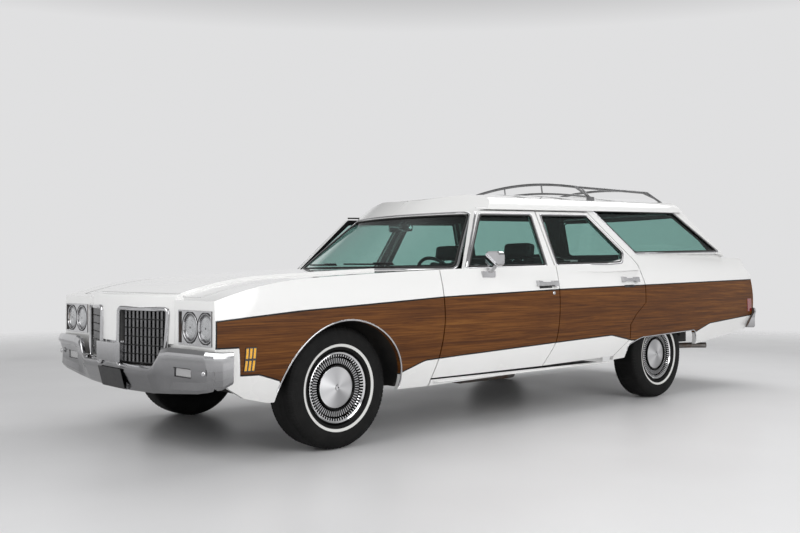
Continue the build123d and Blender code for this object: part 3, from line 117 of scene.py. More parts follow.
class Recipe:
    """One material and the calls that fill its node tree."""

    def __init__(self, name):
        self.material = bpy.data.materials.new(name)
        self.material.use_nodes = True
        self.tree = self.material.node_tree
        self.tree.nodes.clear()
        self.shader = self.tree.nodes.new("ShaderNodeBsdfPrincipled")
        output = self.tree.nodes.new("ShaderNodeOutputMaterial")
        self.tree.links.new(self.shader.outputs["BSDF"], output.inputs["Surface"])
        self.place = None

    def put(self, socket, value):
        if isinstance(value, Signal):
            self.tree.links.new(value.socket, socket)
        elif isinstance(value, (tuple, list)) and len(value) == 3 and socket.type == "RGBA":
            socket.default_value = (*value, 1.0)
        else:
            socket.default_value = value

    def node(self, kind, settings=None, inputs=None, output=0):
        made = self.tree.nodes.new(kind)
        for key, value in (settings or {}).items():
            if key == "stops":
                ramp = made.color_ramp
                while len(ramp.elements) < len(value):
                    ramp.elements.new(0.5)
                for element, (position, colour) in zip(ramp.elements, value):
                    element.position = position
                    element.color = (*colour, 1.0)
            else:
                setattr(made, key, value)
        for key, value in (inputs or {}).items():
            self.put(made.inputs[key], value)
        return Signal(self, made.outputs[output])

    def number(self, value):
        return self.node("ShaderNodeMath", {"operation": "ADD"}, {0: value, 1: 0.0})

    def where(self):
        """Place on the piece in metres, as three values and the vector."""
        if self.place is None:
            vector = self.node("ShaderNodeTexCoord", output="Object")
            parts = self.tree.nodes.new("ShaderNodeSeparateXYZ")
            self.tree.links.new(vector.socket, parts.inputs[0])
            self.place = [Signal(self, parts.outputs[axis]) for axis in range(3)] + [vector]
        return self.place

    def vector(self, x, y, z):
        return self.node("ShaderNodeCombineXYZ", None, {0: x, 1: y, 2: z})

    def noise(self, scale, detail=3.0, roughness=0.5, vector=None, distortion=0.0):
        return self.node("ShaderNodeTexNoise", None, {
            "Vector": vector or self.where()[3], "Scale": scale, "Detail": detail,
            "Roughness": roughness, "Distortion": distortion})

    def stretched(self, x, y, z):
        """Object place with each axis multiplied, for grain that runs one way."""
        return self.node("ShaderNodeVectorMath", {"operation": "MULTIPLY"},
                         {0: self.where()[3], 1: (x, y, z)})

    def blend(self, factor, first, second, mode="MIX"):
        made = self.tree.nodes.new("ShaderNodeMix")
        made.data_type = "RGBA"
        made.blend_type = mode
        self.put(made.inputs[0], factor)
        self.put(made.inputs[6], first)
        self.put(made.inputs[7], second)
        return Signal(self, made.outputs[2])

    def bump(self, height, distance, strength=1.0):
        """Small relief; the height is 0 to 1 and the distance is in metres."""
        return self.node("ShaderNodeBump", None, {
            "Height": height, "Distance": distance, "Strength": strength})

    def fixed(self, **values):
        for key, value in values.items():
            self.shader.inputs[key.replace("_", " ")].default_value = value

    def vary(self, **signals):
        for key, value in signals.items():
            self.put(self.shader.inputs[key.replace("_", " ")], value)


print("shader class ready")

# %% [markdown]
# ## White paint with wood-look sides
# The body is gloss white under clear lacquer. A printed wood film covers the sides between
# two mouldings. Its edges follow the body in side view, so the mask that divides film from
# paint is worked out from how far back and how high a point lies.

# %% Stations and the film's outline
FRONT_AXLE_Y = -1.9065


def y_at(station):
    """Row place of a point measured back from the front axle, in metres."""
    return FRONT_AXLE_Y + station


FILM_TOP = [(-0.83, 0.740), (-0.315, 0.782), (0.754, 0.841), (1.873, 0.877), (4.80, 0.942)]
FILM_BOTTOM = [(-0.83, 0.608), (-0.674, 0.607), (-0.671, 0.463), (-0.541, 0.460),
               (-0.410, 0.418), (-0.300, 0.250), (0.330, 0.250), (0.436, 0.401),
               (0.610, 0.463), (0.889, 0.476), (1.835, 0.511), (2.482, 0.532),
               (2.722, 0.488), (2.760, 0.480), (3.640, 0.480), (3.677, 0.500),
               (3.916, 0.571), (4.641, 0.618), (4.80, 0.622)]
FILM_FRONT = -0.806
FILM_REAR = 4.737
LOW, SPAN = 0.2, 0.8


def height_line(recipe, points):
    """The height of a line of (station, height) points at the shaded place."""
    first, last = points[0][0], points[-1][0]
    along = (recipe.where()[1] - (FRONT_AXLE_Y + first)) / (last - first)
    stops = [((s - first) / (last - first), ((z - LOW) / SPAN,) * 3) for s, z in points]
    shade = recipe.node("ShaderNodeValToRGB", {"stops": stops}, {0: along})
    return shade * SPAN + LOW


def orange_peel(recipe):
    return recipe.noise(220.0, 2.0) * 0.5 + recipe.noise(1400.0, 1.0) * 0.5


paint = Recipe("body_paint")
x, y, z, place = paint.where()
film_top = height_line(paint, FILM_TOP)
film_bottom = height_line(paint, FILM_BOTTOM)


def film(grow):
    """1 inside the film's outline moved outwards by a distance."""
    sides = ((z < film_top + grow) * (z > film_bottom - grow) * (y > y_at(FILM_FRONT) - grow)
             * (y < y_at(FILM_REAR) + grow) * (abs(x) > 0.90))
    gate = ((y > y_at(4.672)) * (abs(x) < 0.66 + grow) * (z > 0.735 - grow)
            * (z < 0.925 + grow))
    return sides.most(gate)


inside = film(0.0)
edge_line = film(0.004) - film(-0.005)
streaks = paint.noise(1.0, 5.0, 0.62, paint.stretched(40.0, 2.4, 110.0), 0.6)
bands = paint.noise(1.0, 3.0, 0.5, paint.stretched(9.0, 0.7, 26.0), 0.9)
pores = paint.noise(1.0, 2.0, 0.5, paint.stretched(160.0, 9.0, 380.0))
tone = (streaks * 0.62 + bands * 0.38).ramp(0.33, 0.68)
wood = paint.node("ShaderNodeValToRGB", {"stops": [
    (0.0, (0.044, 0.013, 0.002)), (0.35, (0.092, 0.029, 0.004)),
    (0.65, (0.145, 0.050, 0.008)), (1.0, (0.225, 0.090, 0.017))]}, {0: tone})
wood = paint.blend(pores.ramp(0.58, 0.70) * 0.55, wood, (0.040, 0.012, 0.004))
dust = paint.noise(3.0, 4.0).ramp(0.45, 0.8) * (1.0 - z.ramp(0.28, 0.62)) * 0.25
white = paint.blend(dust, (0.84, 0.84, 0.83), (0.56, 0.54, 0.50))
coloured = paint.blend(edge_line, paint.blend(inside, white, wood), (0.006, 0.005, 0.005))
paint.vary(Base_Color=coloured, Coat_Weight=1.0 - inside,
           Roughness=0.24 + inside * (0.20 + streaks * 0.12) + dust * 0.5,
           Normal=paint.bump(orange_peel(paint) * (1.0 - inside) * 0.3 + inside * streaks,
                             0.00025, 0.5))
paint.fixed(Coat_Roughness=0.04, Specular_IOR_Level=0.22)

# %% [markdown]
# ## Plain finishes
# Chrome is bare metal with hardly any roughness; what makes it read as old bright work is a
# faint haze in patches. Black painted steel below the body is rougher and dusty.

# %% Metals, black paint, vinyl, glass
chrome = Recipe("bright_work")
haze = chrome.noise(9.0, 5.0).ramp(0.4, 0.8)
chrome.vary(Base_Color=chrome.blend(haze, (0.60, 0.60, 0.61), (0.46, 0.46, 0.47)),
            Roughness=0.05 + haze * 0.07,
            Normal=chrome.bump(chrome.noise(14.0, 2.0), 0.0008, 0.25))
chrome.fixed(Metallic=1.0)

bumper_chrome = Recipe("bumper_bright_work")
x, y, z, place = bumper_chrome.where()
# painted reflection: the bumpers darken towards the bottom in place of the shaded floor they would
# reflect, and are a little rougher there too
painted_floor_reflection = 1.0 - (z + bumper_chrome.noise(5.0, 4.0) * 0.06).ramp(0.47, 0.64)
bumper_chrome.vary(Base_Color=bumper_chrome.blend(painted_floor_reflection, (0.58, 0.58, 0.59),
                                                  (0.235, 0.235, 0.24)),
                   Roughness=0.06 + painted_floor_reflection * 0.10 + bumper_chrome.noise(12.0, 4.0) * 0.06,
                   Normal=bumper_chrome.bump(bumper_chrome.noise(9.0, 2.0), 0.0010, 0.3))
bumper_chrome.fixed(Metallic=1.0)

underbody = Recipe("underbody_black")
grime = underbody.noise(6.0, 6.0, 0.6)
underbody.vary(Base_Color=underbody.blend(grime.ramp(0.4, 0.75), (0.012, 0.012, 0.012),
                                          (0.045, 0.040, 0.034)),
               Roughness=0.55 + grime * 0.3,
               Normal=underbody.bump(underbody.noise(90.0, 4.0), 0.0006, 0.5))

castings = Recipe("castings")
pitting = castings.noise(160.0, 4.0, 0.6)
castings.vary(Base_Color=castings.blend(castings.noise(7.0, 4.0).ramp(0.4, 0.7),
                                        (0.03, 0.03, 0.032), (0.10, 0.075, 0.055)),
              Roughness=0.6 + pitting * 0.2, Normal=castings.bump(pitting, 0.0008, 0.6))
castings.fixed(Metallic=0.4)

engine_paint = Recipe("engine_paint")
engine_paint.vary(Base_Color=engine_paint.blend(engine_paint.noise(5.0, 5.0).ramp(0.4, 0.75),
                                                (0.03, 0.07, 0.16), (0.05, 0.05, 0.05)),
                  Roughness=0.45 + engine_paint.noise(30.0) * 0.2,
                  Normal=engine_paint.bump(engine_paint.noise(120.0, 3.0), 0.001, 0.5))

pipe_steel = Recipe("exhaust_steel")
rust = pipe_steel.noise(11.0, 6.0, 0.6)
pipe_steel.vary(Base_Color=pipe_steel.blend(rust.ramp(0.45, 0.7), (0.25, 0.24, 0.23),
                                            (0.16, 0.08, 0.04)),
                Roughness=0.4 + rust * 0.35, Metallic=1.0 - rust.ramp(0.5, 0.7) * 0.7,
                Normal=pipe_steel.bump(rust, 0.0005, 0.4))

vinyl = Recipe("black_vinyl")
leather_grain = vinyl.node("ShaderNodeTexVoronoi", {"feature": "DISTANCE_TO_EDGE"},
                           {"Vector": vinyl.where()[3], "Scale": 420.0})
vinyl.vary(Base_Color=vinyl.blend(vinyl.noise(4.0).ramp(0.4, 0.7), (0.007, 0.007, 0.008),
                                  (0.014, 0.013, 0.013)),
           Roughness=0.46 + vinyl.noise(60.0) * 0.15,
           Normal=vinyl.bump(leather_grain.ramp(0.0, 0.15), 0.0004, 0.6))

tint_glass = Recipe("tinted_glass")
x, y, z, place = tint_glass.where()
shade_band = (z - 1.330).ramp(0.0, 0.045) * (y < y_at(1.60)) * (abs(x) < 0.63)
tint_glass.vary(Base_Color=tint_glass.blend(shade_band, (0.485, 0.675, 0.635), (0.05, 0.09, 0.09)),
                Roughness=tint_glass.noise(3.0, 3.0).ramp(0.55, 0.9) * 0.03)
tint_glass.fixed(Transmission_Weight=1.0, IOR=1.30)

rubber = Recipe("tyre_rubber")
x, y, z, place = rubber.where()
TYRE_RADIUS = 0.345
axle_y = (y > 0.0) * (y_at(3.226) - y_at(0.0)) + y_at(0.0)
reach = ((y - axle_y) ** 2.0 + (z - TYRE_RADIUS) ** 2.0).root()
outer_side = abs(x) > 0.85
stripe = (reach > 0.2290) * (reach < 0.2445) * outer_side
rubber.vary(Base_Color=rubber.blend(stripe, rubber.blend(rubber.noise(12.0, 5.0).ramp(0.4, 0.8),
                                    (0.0035, 0.0035, 0.0035), (0.0080, 0.0078, 0.0075)),
                                    (0.70, 0.70, 0.68)),
            Roughness=0.62 + rubber.noise(40.0) * 0.15,
            Normal=rubber.bump(rubber.noise(300.0, 3.0), 0.0004, 0.5))
rubber.fixed(Specular_IOR_Level=0.22)

seal = Recipe("window_rubber")
seal.vary(Base_Color=seal.blend(seal.noise(30.0, 4.0).ramp(0.4, 0.8), (0.008, 0.008, 0.008),
                                (0.020, 0.019, 0.018)),
          Roughness=0.5 + seal.noise(60.0) * 0.2,
          Normal=seal.bump(seal.noise(260.0, 2.0), 0.0003, 0.4))

headliner = Recipe("headliner_cloth")
x, y, z, place = headliner.where()
holes = headliner.node("ShaderNodeTexVoronoi", None, {"Vector": place, "Scale": 160.0})
headliner.vary(Base_Color=headliner.blend(holes.ramp(0.15, 0.3), (0.006, 0.006, 0.006),
                                          (0.016, 0.016, 0.015)),
               Roughness=0.85 + headliner.noise(40.0) * 0.1,
               Normal=headliner.bump(holes.ramp(0.1, 0.35), 0.0006, 0.5))

# near-black finish: real black on the wiper arms, the blank plate and parts of the grille, and
# painted shade in the handle recesses, under the door handles, in the headlamp gaps, in the
# wheel-cover recesses, on the grille backing and inside the nose openings
black_paint_and_shade = Recipe("black_paint_and_recess_shade")
black_paint_and_shade.vary(Base_Color=black_paint_and_shade.blend(black_paint_and_shade.noise(14.0, 4.0).ramp(0.45, 0.8),
                                              (0.006, 0.006, 0.007), (0.016, 0.016, 0.016)),
                 Roughness=0.34 + black_paint_and_shade.noise(50.0, 3.0) * 0.2,
                 Normal=black_paint_and_shade.bump(black_paint_and_shade.noise(300.0, 2.0), 0.0002, 0.4))

chrome_back = Recipe("unplated_back")
chrome_back.vary(Base_Color=chrome_back.blend(chrome_back.noise(8.0, 5.0).ramp(0.4, 0.7),
                                              (0.10, 0.10, 0.10), (0.13, 0.09, 0.07)),
                 Roughness=0.5 + chrome_back.noise(40.0) * 0.3,
                 Normal=chrome_back.bump(chrome_back.noise(120.0, 3.0), 0.0005, 0.5))
chrome_back.fixed(Metallic=0.6)

# lamp lenses: fluted glass over a reflector, amber side markers and red tail lamps
lens = Recipe("lamp_lens")
x, y, z, place = lens.where()
wide = abs(x)
rise = z - 0.703
from_lamp = ((wide - 0.708) ** 2.0 + rise ** 2.0).root().least(
    ((wide - 0.868) ** 2.0 + rise ** 2.0).root())
rear = y > 0.0
marker = wide > 0.93
park = (y < 0.0) * (z < 0.60) * (1.0 - marker)
round_glass = (from_lamp < 0.071) * (1.0 - rear)
cell_s = ((y - y_at(-0.640)) / 0.02167).fract()
cell_z = ((z - 0.480) / 0.063).fract()
lattice = (cell_s < 0.20).most(cell_s > 0.80).most(cell_z < 0.09).most(cell_z > 0.91) * marker \
    * (1.0 - rear)
park_edge = (wide < 0.649).most(wide > 0.791).most(z < 0.4560).most(z > 0.4940)
flutes = (from_lamp * 900.0).sine() * 0.5 + 0.5
ribs = (x * 700.0).sine() * 0.5 + 0.5
rear_ribs = (z * 500.0).sine() * 0.5 + 0.5
silver = lens.blend((from_lamp - 0.052).ramp(0.0, 0.012), (0.52, 0.53, 0.54), (0.06, 0.06, 0.065))
silver = lens.blend(from_lamp < 0.006, silver, (0.03, 0.03, 0.03))
shade = lens.blend(round_glass, (0.50, 0.50, 0.50), silver)
shade = lens.blend(marker * (1.0 - rear), shade, (0.85, 0.42, 0.01))
shade = lens.blend(rear, shade, (0.22, 0.003, 0.003))
shade = lens.blend(lattice.most(park * park_edge), shade, (0.006, 0.006, 0.006))
lens.vary(Base_Color=shade,
          Roughness=0.10 + flutes * round_glass * 0.12 + lens.noise(30.0) * 0.05,
          Metallic=round_glass * 0.85 + park * 0.6,
          Normal=lens.bump(round_glass * flutes + park * ribs + rear * rear_ribs, 0.0008, 0.6))
lens.fixed(Coat_Weight=1.0, Coat_Roughness=0.02)

# wheel covers: plated rings with a painted sheen that rises and falls round the axle, near-black
# painted shade in their recesses, and a disc whose brushing runs round the axle
cover = Recipe("wheel_cover")
x, y, z, place = cover.where()
axle = (y > 0.0) * 3.226 + y_at(0.0)
off_y, off_z = y - axle, z - 0.345
from_axle = (off_y ** 2.0 + off_z ** 2.0).root()
outer_face = abs(x) > 0.87
disc = (from_axle < 0.114) * outer_face
around = off_z.math("ARCTAN2", off_y)
fin_share = ((around + pi) * (66.0 / (2.0 * pi)) + 0.5).fract()
between_fins = (fin_share < 0.36).most(fin_share > 0.64)
# painted shade: the sunk ring round the disc, the slots between the fins and the cover beyond 0.1975
# m from the axle are coloured near black
painted_shade_rings = ((from_axle > 0.1145) * (from_axle < 0.1370)).most(
    (from_axle > 0.164) * (from_axle < 0.1870) * between_fins).most(
    from_axle > 0.1975) * outer_face
brushing = cover.node("ShaderNodeTexNoise", None, {
    "Vector": cover.vector(from_axle * 700.0, around * 1.2, 0.0), "Scale": 1.0, "Detail": 3.0})
# painted sheen: the plated ring turns lighter and darker twice round the axle, as highlights would
painted_sheen = ((around * 2.0).sine() * 0.5 + 0.5) ** 3.0 + ((around * 2.0 + 2.1).sine() * 0.5 + 0.5) ** 6.0
dot = (from_axle < 0.0045) * disc
plated = cover.blend(disc, (0.80, 0.80, 0.81),
                     cover.blend(painted_sheen.ramp(0.0, 1.2), (0.42, 0.42, 0.43), (0.78, 0.78, 0.79)))
cover.vary(Base_Color=cover.blend(dot.most(painted_shade_rings), plated, (0.012, 0.012, 0.012)),
           Roughness=0.09 + disc * (0.22 + brushing * 0.12) + cover.noise(12.0) * 0.04,
           Normal=cover.bump(disc * brushing, 0.0002, 0.5))
cover.fixed(Metallic=1.0)

dull_plating = Recipe("dull_plating")
dull_plating.vary(Base_Color=dull_plating.blend(dull_plating.noise(8.0).ramp(0.4, 0.8),
                                            (0.22, 0.22, 0.225), (0.13, 0.13, 0.13)),
                Roughness=0.20 + dull_plating.noise(30.0) * 0.15)
dull_plating.fixed(Metallic=1.0)

FINISHES = {
    "body_white": paint, "chrome_trim": chrome, "frame_black": underbody,
    "cabin_vinyl": vinyl, "engine_iron": engine_paint, "exhaust_steel": pipe_steel,
    "window_glass": tint_glass, "tank_steel": underbody, "cast_parts": castings,
    "lamp_lens": lens, "rack_tube": dull_plating, "seat_vinyl": vinyl,
    "tyre_rubber": rubber, "wheel_cover": cover,
}
for subpart in frame["record"]["subparts"]:
    recipe = FINISHES[subpart["material_slot"]]
    mesh = nodes[subpart["node"]].data
    mesh.materials.clear()
    mesh.materials.append(recipe.material)
for name in ("bumper_front", "bumper_rear"):
    nodes[name].data.materials[0] = bumper_chrome.material
print("finishes on", len(nodes), "nodes")

# %% [markdown]
# ## Where the body's surfaces lie
# Mouldings follow the panels that carry them. Each surface is written as a function that
# turns two numbers, such as station and height, into a point, so a strip only needs a path
# of such pairs.

# %% Surfaces
def flank(side):
    """Lower body side: it bows in plan and curves in section."""
    centre = 1.008 - 105.8

    def point(s, z):
        radius = 0.80 if z < 0.68 else 1.05
        widest = 1.008 - radius + sqrt(radius ** 2 - (z - 0.68) ** 2)
        reach = centre + sqrt((widest - centre) ** 2 - (s - 1.95) ** 2)
        return Vector((side * reach, y_at(s), z))
    return point


def side_glass(side, inset=0.0):
    """Flat leaning side of the greenhouse, which climbs 2.2 degrees to the rear."""
    lean = 0.230 / 0.399

    def point(s, z):
        height = z - sin(radians(2.2)) / cos(radians(2.2)) * (s - 1.420)
        return Vector((side * (0.930 - inset - lean * (height - 1.025)), y_at(s), z))
    return point


def bowed_glass(base_s, base_z, slope, radius, inset=0.0):
    """Windshield or rear glass, given across the car and upwards."""
    bow = 1.0 if radius > 0 else -1.0

    def point(x, z):
        sag = bow * (abs(radius) - sqrt(radius ** 2 - x ** 2))
        return Vector((x, y_at(base_s + slope * (z - base_z) + sag + bow * inset), z))
    return point


windshield = bowed_glass(0.753, 1.030, 0.517 / 0.397, 1.55)
rear_screen = bowed_glass(4.450, 1.166, -0.410 / 0.399, -2.30)
SIDES = (("left", 1), ("right", -1))
print("flank at the rocker", tuple(round(c, 3) for c in flank(1)(1.95, 0.30)))

# %% [markdown]
# ## Strips
# A moulding is a narrow raised band. Its path is rounded at the corners, cut into short
# steps, and at each step five points across it are lifted along the surface's own normal.

# %% The strip maker
def rounded(points, radius, closed):
    """Path with each corner replaced by a small curve."""
    result = []
    count = len(points)
    for index, corner in enumerate(points):
        if not closed and index in (0, count - 1):
            result.append(corner)
            continue
        before, after = points[index - 1], points[(index + 1) % count]
        ends = []
        for other in (before, after):
            away = Vector(other) - Vector(corner)
            ends.append(Vector(corner) + away.normalized() * min(radius, away.length * 0.45))
        for step in range(6):
            t = step / 5
            mixed = ends[0] * (1 - t) ** 2 + Vector(corner) * 2 * t * (1 - t) + ends[1] * t ** 2
            result.append(tuple(mixed))
    return result


def stepped(points, step, closed):
    """Path with points no further apart than one step."""
    result = []
    pairs = list(zip(points, points[1:] + points[:1])) if closed else list(zip(points, points[1:]))
    for (u0, v0), (u1, v1) in pairs:
        cuts = max(1, int(sqrt((u1 - u0) ** 2 + (v1 - v0) ** 2) / step))
        result += [(u0 + (u1 - u0) * k / cuts, v0 + (v1 - v0) * k / cuts) for k in range(cuts)]
    return result if closed else result + [points[-1]]


def mesh_piece(name, verts, faces, recipe, body, smooth=True):
    mesh = bpy.data.meshes.new(name)
    mesh.from_pydata([tuple(v) for v in verts], [], faces)
    mesh.validate()
    mesh.materials.append(recipe.material)
    for polygon in mesh.polygons:
        polygon.use_smooth = smooth
    piece = bpy.data.objects.new(name, mesh)
    scene.collection.objects.link(piece)
    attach(piece, body)
    return piece


def strip(name, surface, path, width, proud, recipe, body, closed=False, corner=0.02,
          sink=0.0015):
    """Raised band along a path on a surface."""
    line = stepped(rounded(path, corner, closed), 0.05, closed)
    centres = [surface(u, v) for u, v in line]
    count = len(line)
    profile = [(-0.5, -sink), (-0.42, 0.62 * proud), (-0.2, proud), (0.2, proud),
               (0.42, 0.62 * proud), (0.5, -sink)]
    verts = []
    for index, (u, v) in enumerate(line):
        if closed:
            ahead, behind = centres[(index + 1) % count], centres[index - 1]
        else:
            ahead, behind = centres[min(index + 1, count - 1)], centres[max(index - 1, 0)]
        tangent = (ahead - behind).normalized()
        here = centres[index]
        normal = (surface(u + 1e-4, v) - here).cross(surface(u, v + 1e-4) - here).normalized()
        outward = here - Vector((0.0, here.y * 0.75, 0.9))
        if normal.dot(outward) < 0:
            normal = -normal
        across = normal.cross(tangent).normalized()
        verts += [here + across * (width * a) + normal * b for a, b in profile]
    rows = len(profile)
    faces = []
    for index in range(count if closed else count - 1):
        first, second = index * rows, ((index + 1) % count) * rows
        faces += [(first + k, first + k + 1, second + k + 1, second + k) for k in range(rows - 1)]
        faces.append((first + rows - 1, first, second, second + rows - 1))
    if not closed:
        faces += [tuple(range(rows)), tuple(reversed(range((count - 1) * rows, count * rows)))]
    return mesh_piece(name, verts, faces, recipe, body)


print("strip maker ready")

# %% [markdown]
# ## Mouldings and window surrounds
# Every window has a thin bright frame with a black seal inside it. Bright lips run round the
# wheel openings, and a ridge runs along the sill.

# %% Seals, window frames, lips and ridges
FRONT_WINDOW = [(1.030, 1.024), (1.352, 1.386), (1.880, 1.406), (1.800, 1.044)]
REAR_WINDOW = [(1.924, 1.050), (1.994, 1.410), (2.538, 1.430), (2.772, 1.150), (2.700, 1.076),
               (2.560, 1.066)]
QUARTER_WINDOW = [(2.944, 1.152), (2.664, 1.478), (3.800, 1.514), (4.196, 1.190)]
WINDSHIELD_EDGE = [(-0.838, 1.026), (-0.612, 1.396), (0.612, 1.396), (0.838, 1.026)]
REAR_EDGE = [(-0.790, 1.176), (-0.640, 1.500), (0.640, 1.500), (0.790, 1.176)]


def pushed(points, by):
    """Closed outline moved outwards along each edge's normal."""
    area = sum(u0 * v1 - u1 * v0 for (u0, v0), (u1, v1) in zip(points, points[1:] + points[:1]))
    turn = 1.0 if area < 0 else -1.0
    result = []
    for index, corner in enumerate(points):
        before, after = points[index - 1], points[(index + 1) % len(points)]
        normals = []
        for (u0, v0), (u1, v1) in ((before, corner), (corner, after)):
            length = sqrt((u1 - u0) ** 2 + (v1 - v0) ** 2)
            normals.append((-turn * (v1 - v0) / length, turn * (u1 - u0) / length))
        (a, b), (c, d) = normals
        scale = by / (1.0 + a * c + b * d)
        result.append((corner[0] + (a + c) * scale, corner[1] + (b + d) * scale))
    return result


for side_name, side in SIDES:
    for place, window, body in (("front", FRONT_WINDOW, "door_front_" + side_name),
                                ("rear", REAR_WINDOW, "door_rear_" + side_name),
                                ("quarter", QUARTER_WINDOW, "body")):
        strip("window_frame_" + place + "_" + side_name, side_glass(side), pushed(window, 0.007),
              0.015, 0.005, chrome, body, True)
        strip("window_seal_" + place + "_" + side_name, side_glass(side, 0.004),
              pushed(window, -0.004), 0.013, 0.0065, seal, body, True)
    strip("pillar_trim_" + side_name, side_glass(side), [(1.0085, 1.022), (1.3180, 1.4010)],
          0.016, 0.0075, chrome, "door_front_" + side_name)
    lip = [(0.018 + 0.433 * cos(radians(a)), 0.292 + 0.433 * sin(radians(a)))
           for a in range(3, 176, 6)]
    strip("front_arch_lip_" + side_name, flank(side), lip, 0.011, 0.005, chrome, "body",
          corner=0.005)
    rear_lip = [(2.7225, 0.400), (2.7225, 0.445), (2.806, 0.4755), (2.889, 0.4995),
                (3.672, 0.5245), (3.708, 0.484), (3.742, 0.410)]
    strip("rear_arch_lip_" + side_name, flank(side), rear_lip, 0.010, 0.005, chrome, "body",
          corner=0.03)
    strip("sill_ridge_" + side_name, flank(side), [(0.73, 0.318), (1.72, 0.322), (2.54, 0.326)],
          0.012, 0.006, paint, "body")
    strip("belt_line_" + side_name, side_glass(side), [(2.96, 1.143), (4.18, 1.180)],
          0.010, 0.005, chrome, "body")
for name, surface, edge in (("windshield", windshield, WINDSHIELD_EDGE),
                            ("rear_screen", rear_screen, REAR_EDGE)):
    strip(name + "_frame", surface, pushed(edge, 0.012), 0.020, 0.005, chrome, "body",
          True, 0.05)
    strip(name + "_seal", surface, pushed(edge, -0.003), 0.012, 0.003, seal, "body",
          True, 0.04, sink=0.010)

# %% [markdown]
# ## Insides of the panels
# A panel is one solid, so its cabin side would be white too. Each face is asked which way it
# looks: a face that looks towards the middle of the cabin gets trim or headliner.

# %% Trim, headliner, black parts and painted shade in recesses
def line_faces(node_name, recipe, test):
    """Give a second finish to the faces of a CAD node that pass a test."""
    mesh = nodes[node_name].data
    mesh.materials.append(recipe.material)
    index = len(mesh.materials) - 1
    found = 0
    for polygon in mesh.polygons:
        if test(polygon.center, polygon.normal):
            polygon.material_index = index
            found += 1
    return found


def faces_cabin(centre, normal):
    inward = Vector((0.0, max(-1.0, min(2.0, centre.y)), 1.0)) - centre
    inward.normalize()
    return normal.dot(inward) > 0.35


lined = line_faces("roof", headliner, faces_cabin)
for side_name, side in SIDES:
    for place in ("front", "rear"):
        lined += line_faces("door_" + place + "_" + side_name, vinyl,
                            lambda c, n: n.x * side < -0.3 and not (
                                c.z > 1.02 and c.y < y_at(0.99 + 0.79 * (c.z - 1.0))))
        lined += line_faces("door_" + place + "_" + side_name, chrome,
                            lambda c, n: 0.88 < c.z < 0.97 and
                            abs(c.x) > flank(1)(c.y - FRONT_AXLE_Y, c.z).x + 0.003)
        # the undersides of the door handles are coloured near black: painted shade
        lined += line_faces("door_" + place + "_" + side_name, black_paint_and_shade,
                            lambda c, n: 0.88 < c.z < 0.97 and n.z < -0.5 and
                            abs(c.x) > flank(1)(c.y - FRONT_AXLE_Y, c.z).x + 0.003)
    lined += line_faces("quarter_" + side_name, underbody, lambda c, n: n.x * side < -0.3)
    lined += line_faces("fender_" + side_name, underbody, lambda c, n: n.x * side < -0.3)
lined += line_faces("hood", underbody, lambda c, n: n.z < -0.5 and c.z < 0.97)
lined += line_faces("tailgate", vinyl, lambda c, n: n.y < -0.5)
lined += line_faces("cowl", underbody, lambda c, n: c.z < 0.78)
lined += line_faces("grilles", chrome_back, lambda c, n: abs(n.x) > 0.95)
# the grille's back plate, the top and bottom faces of its bars and the nose's inner faces are near
# black: partly the real black grille, partly painted shade in the openings
lined += line_faces("grilles", black_paint_and_shade, lambda c, n: abs(c.x) < 0.50 and (
    c.y > y_at(-0.7900) or abs(n.z) > 0.7))
lined += line_faces("nose_panel", black_paint_and_shade,
                    lambda c, n: c.y > y_at(-0.80) and n.y > 0.5)
lined += line_faces("body_sides", vinyl, faces_cabin)
lined += line_faces("bumper_front", chrome_back, lambda c, n: n.y > 0.4)
lined += line_faces("bumper_rear", chrome_back, lambda c, n: n.y < -0.4)
# wheel faces on the inboard side and on the floor of the cover's sunk ring get the near-black
# finish: painted shade
for node_name in [name for name in nodes if name.startswith("wheel_")]:
    lined += line_faces(node_name, black_paint_and_shade,
                        lambda c, n: abs(c.x) < 0.84 or (
                            abs(n.x) > 0.9 and 0.135 < sqrt(
                                min((c.y - y_at(s)) ** 2 for s in (0.0, 3.226))
                                + (c.z - 0.345) ** 2) < 0.163))
print("faces with a second finish", lined)

# %% [markdown]
# ## Rings of small pieces
# Tread blocks and the fins of the wheel covers are one small block each, set round a circle
# by a node group. The group is built once, and its inputs say how many, how far out and
# what finish.

# %% The ring group
def ring_group():
    group = bpy.data.node_groups.new("ring_of_pieces", "GeometryNodeTree")
    interface = group.interface
    interface.new_socket("Geometry", in_out="INPUT", socket_type="NodeSocketGeometry")
    for name, kind in (("Count", "NodeSocketInt"), ("Radius", "NodeSocketFloat"),
                       ("Material", "NodeSocketMaterial")):
        interface.new_socket(name, in_out="INPUT", socket_type=kind)
    interface.new_socket("Geometry", in_out="OUTPUT", socket_type="NodeSocketGeometry")
    add, link = group.nodes.new, group.links.new
    entry, exit_ = add("NodeGroupInput"), add("NodeGroupOutput")
    circle = add("GeometryNodeMeshCircle")
    link(entry.outputs["Count"], circle.inputs["Vertices"])
    link(entry.outputs["Radius"], circle.inputs["Radius"])
    place = add("GeometryNodeInputPosition")
    aim = add("FunctionNodeAlignRotationToVector")
    aim.axis = "X"
    aim.pivot_axis = "Z"
    link(place.outputs[0], aim.inputs["Vector"])
    copies = add("GeometryNodeInstanceOnPoints")
    link(circle.outputs[0], copies.inputs["Points"])
    link(entry.outputs["Geometry"], copies.inputs["Instance"])
    link(aim.outputs[0], copies.inputs["Rotation"])
    real = add("GeometryNodeRealizeInstances")
    link(copies.outputs[0], real.inputs[0])
    finish = add("GeometryNodeSetMaterial")
    link(real.outputs[0], finish.inputs["Geometry"])
    link(entry.outputs["Material"], finish.inputs["Material"])
    link(finish.outputs[0], exit_.inputs[0])
    return group


RING = ring_group()
RING_INPUTS = {item.name: item.identifier for item in RING.interface.items_tree
               if item.in_out == "INPUT"}


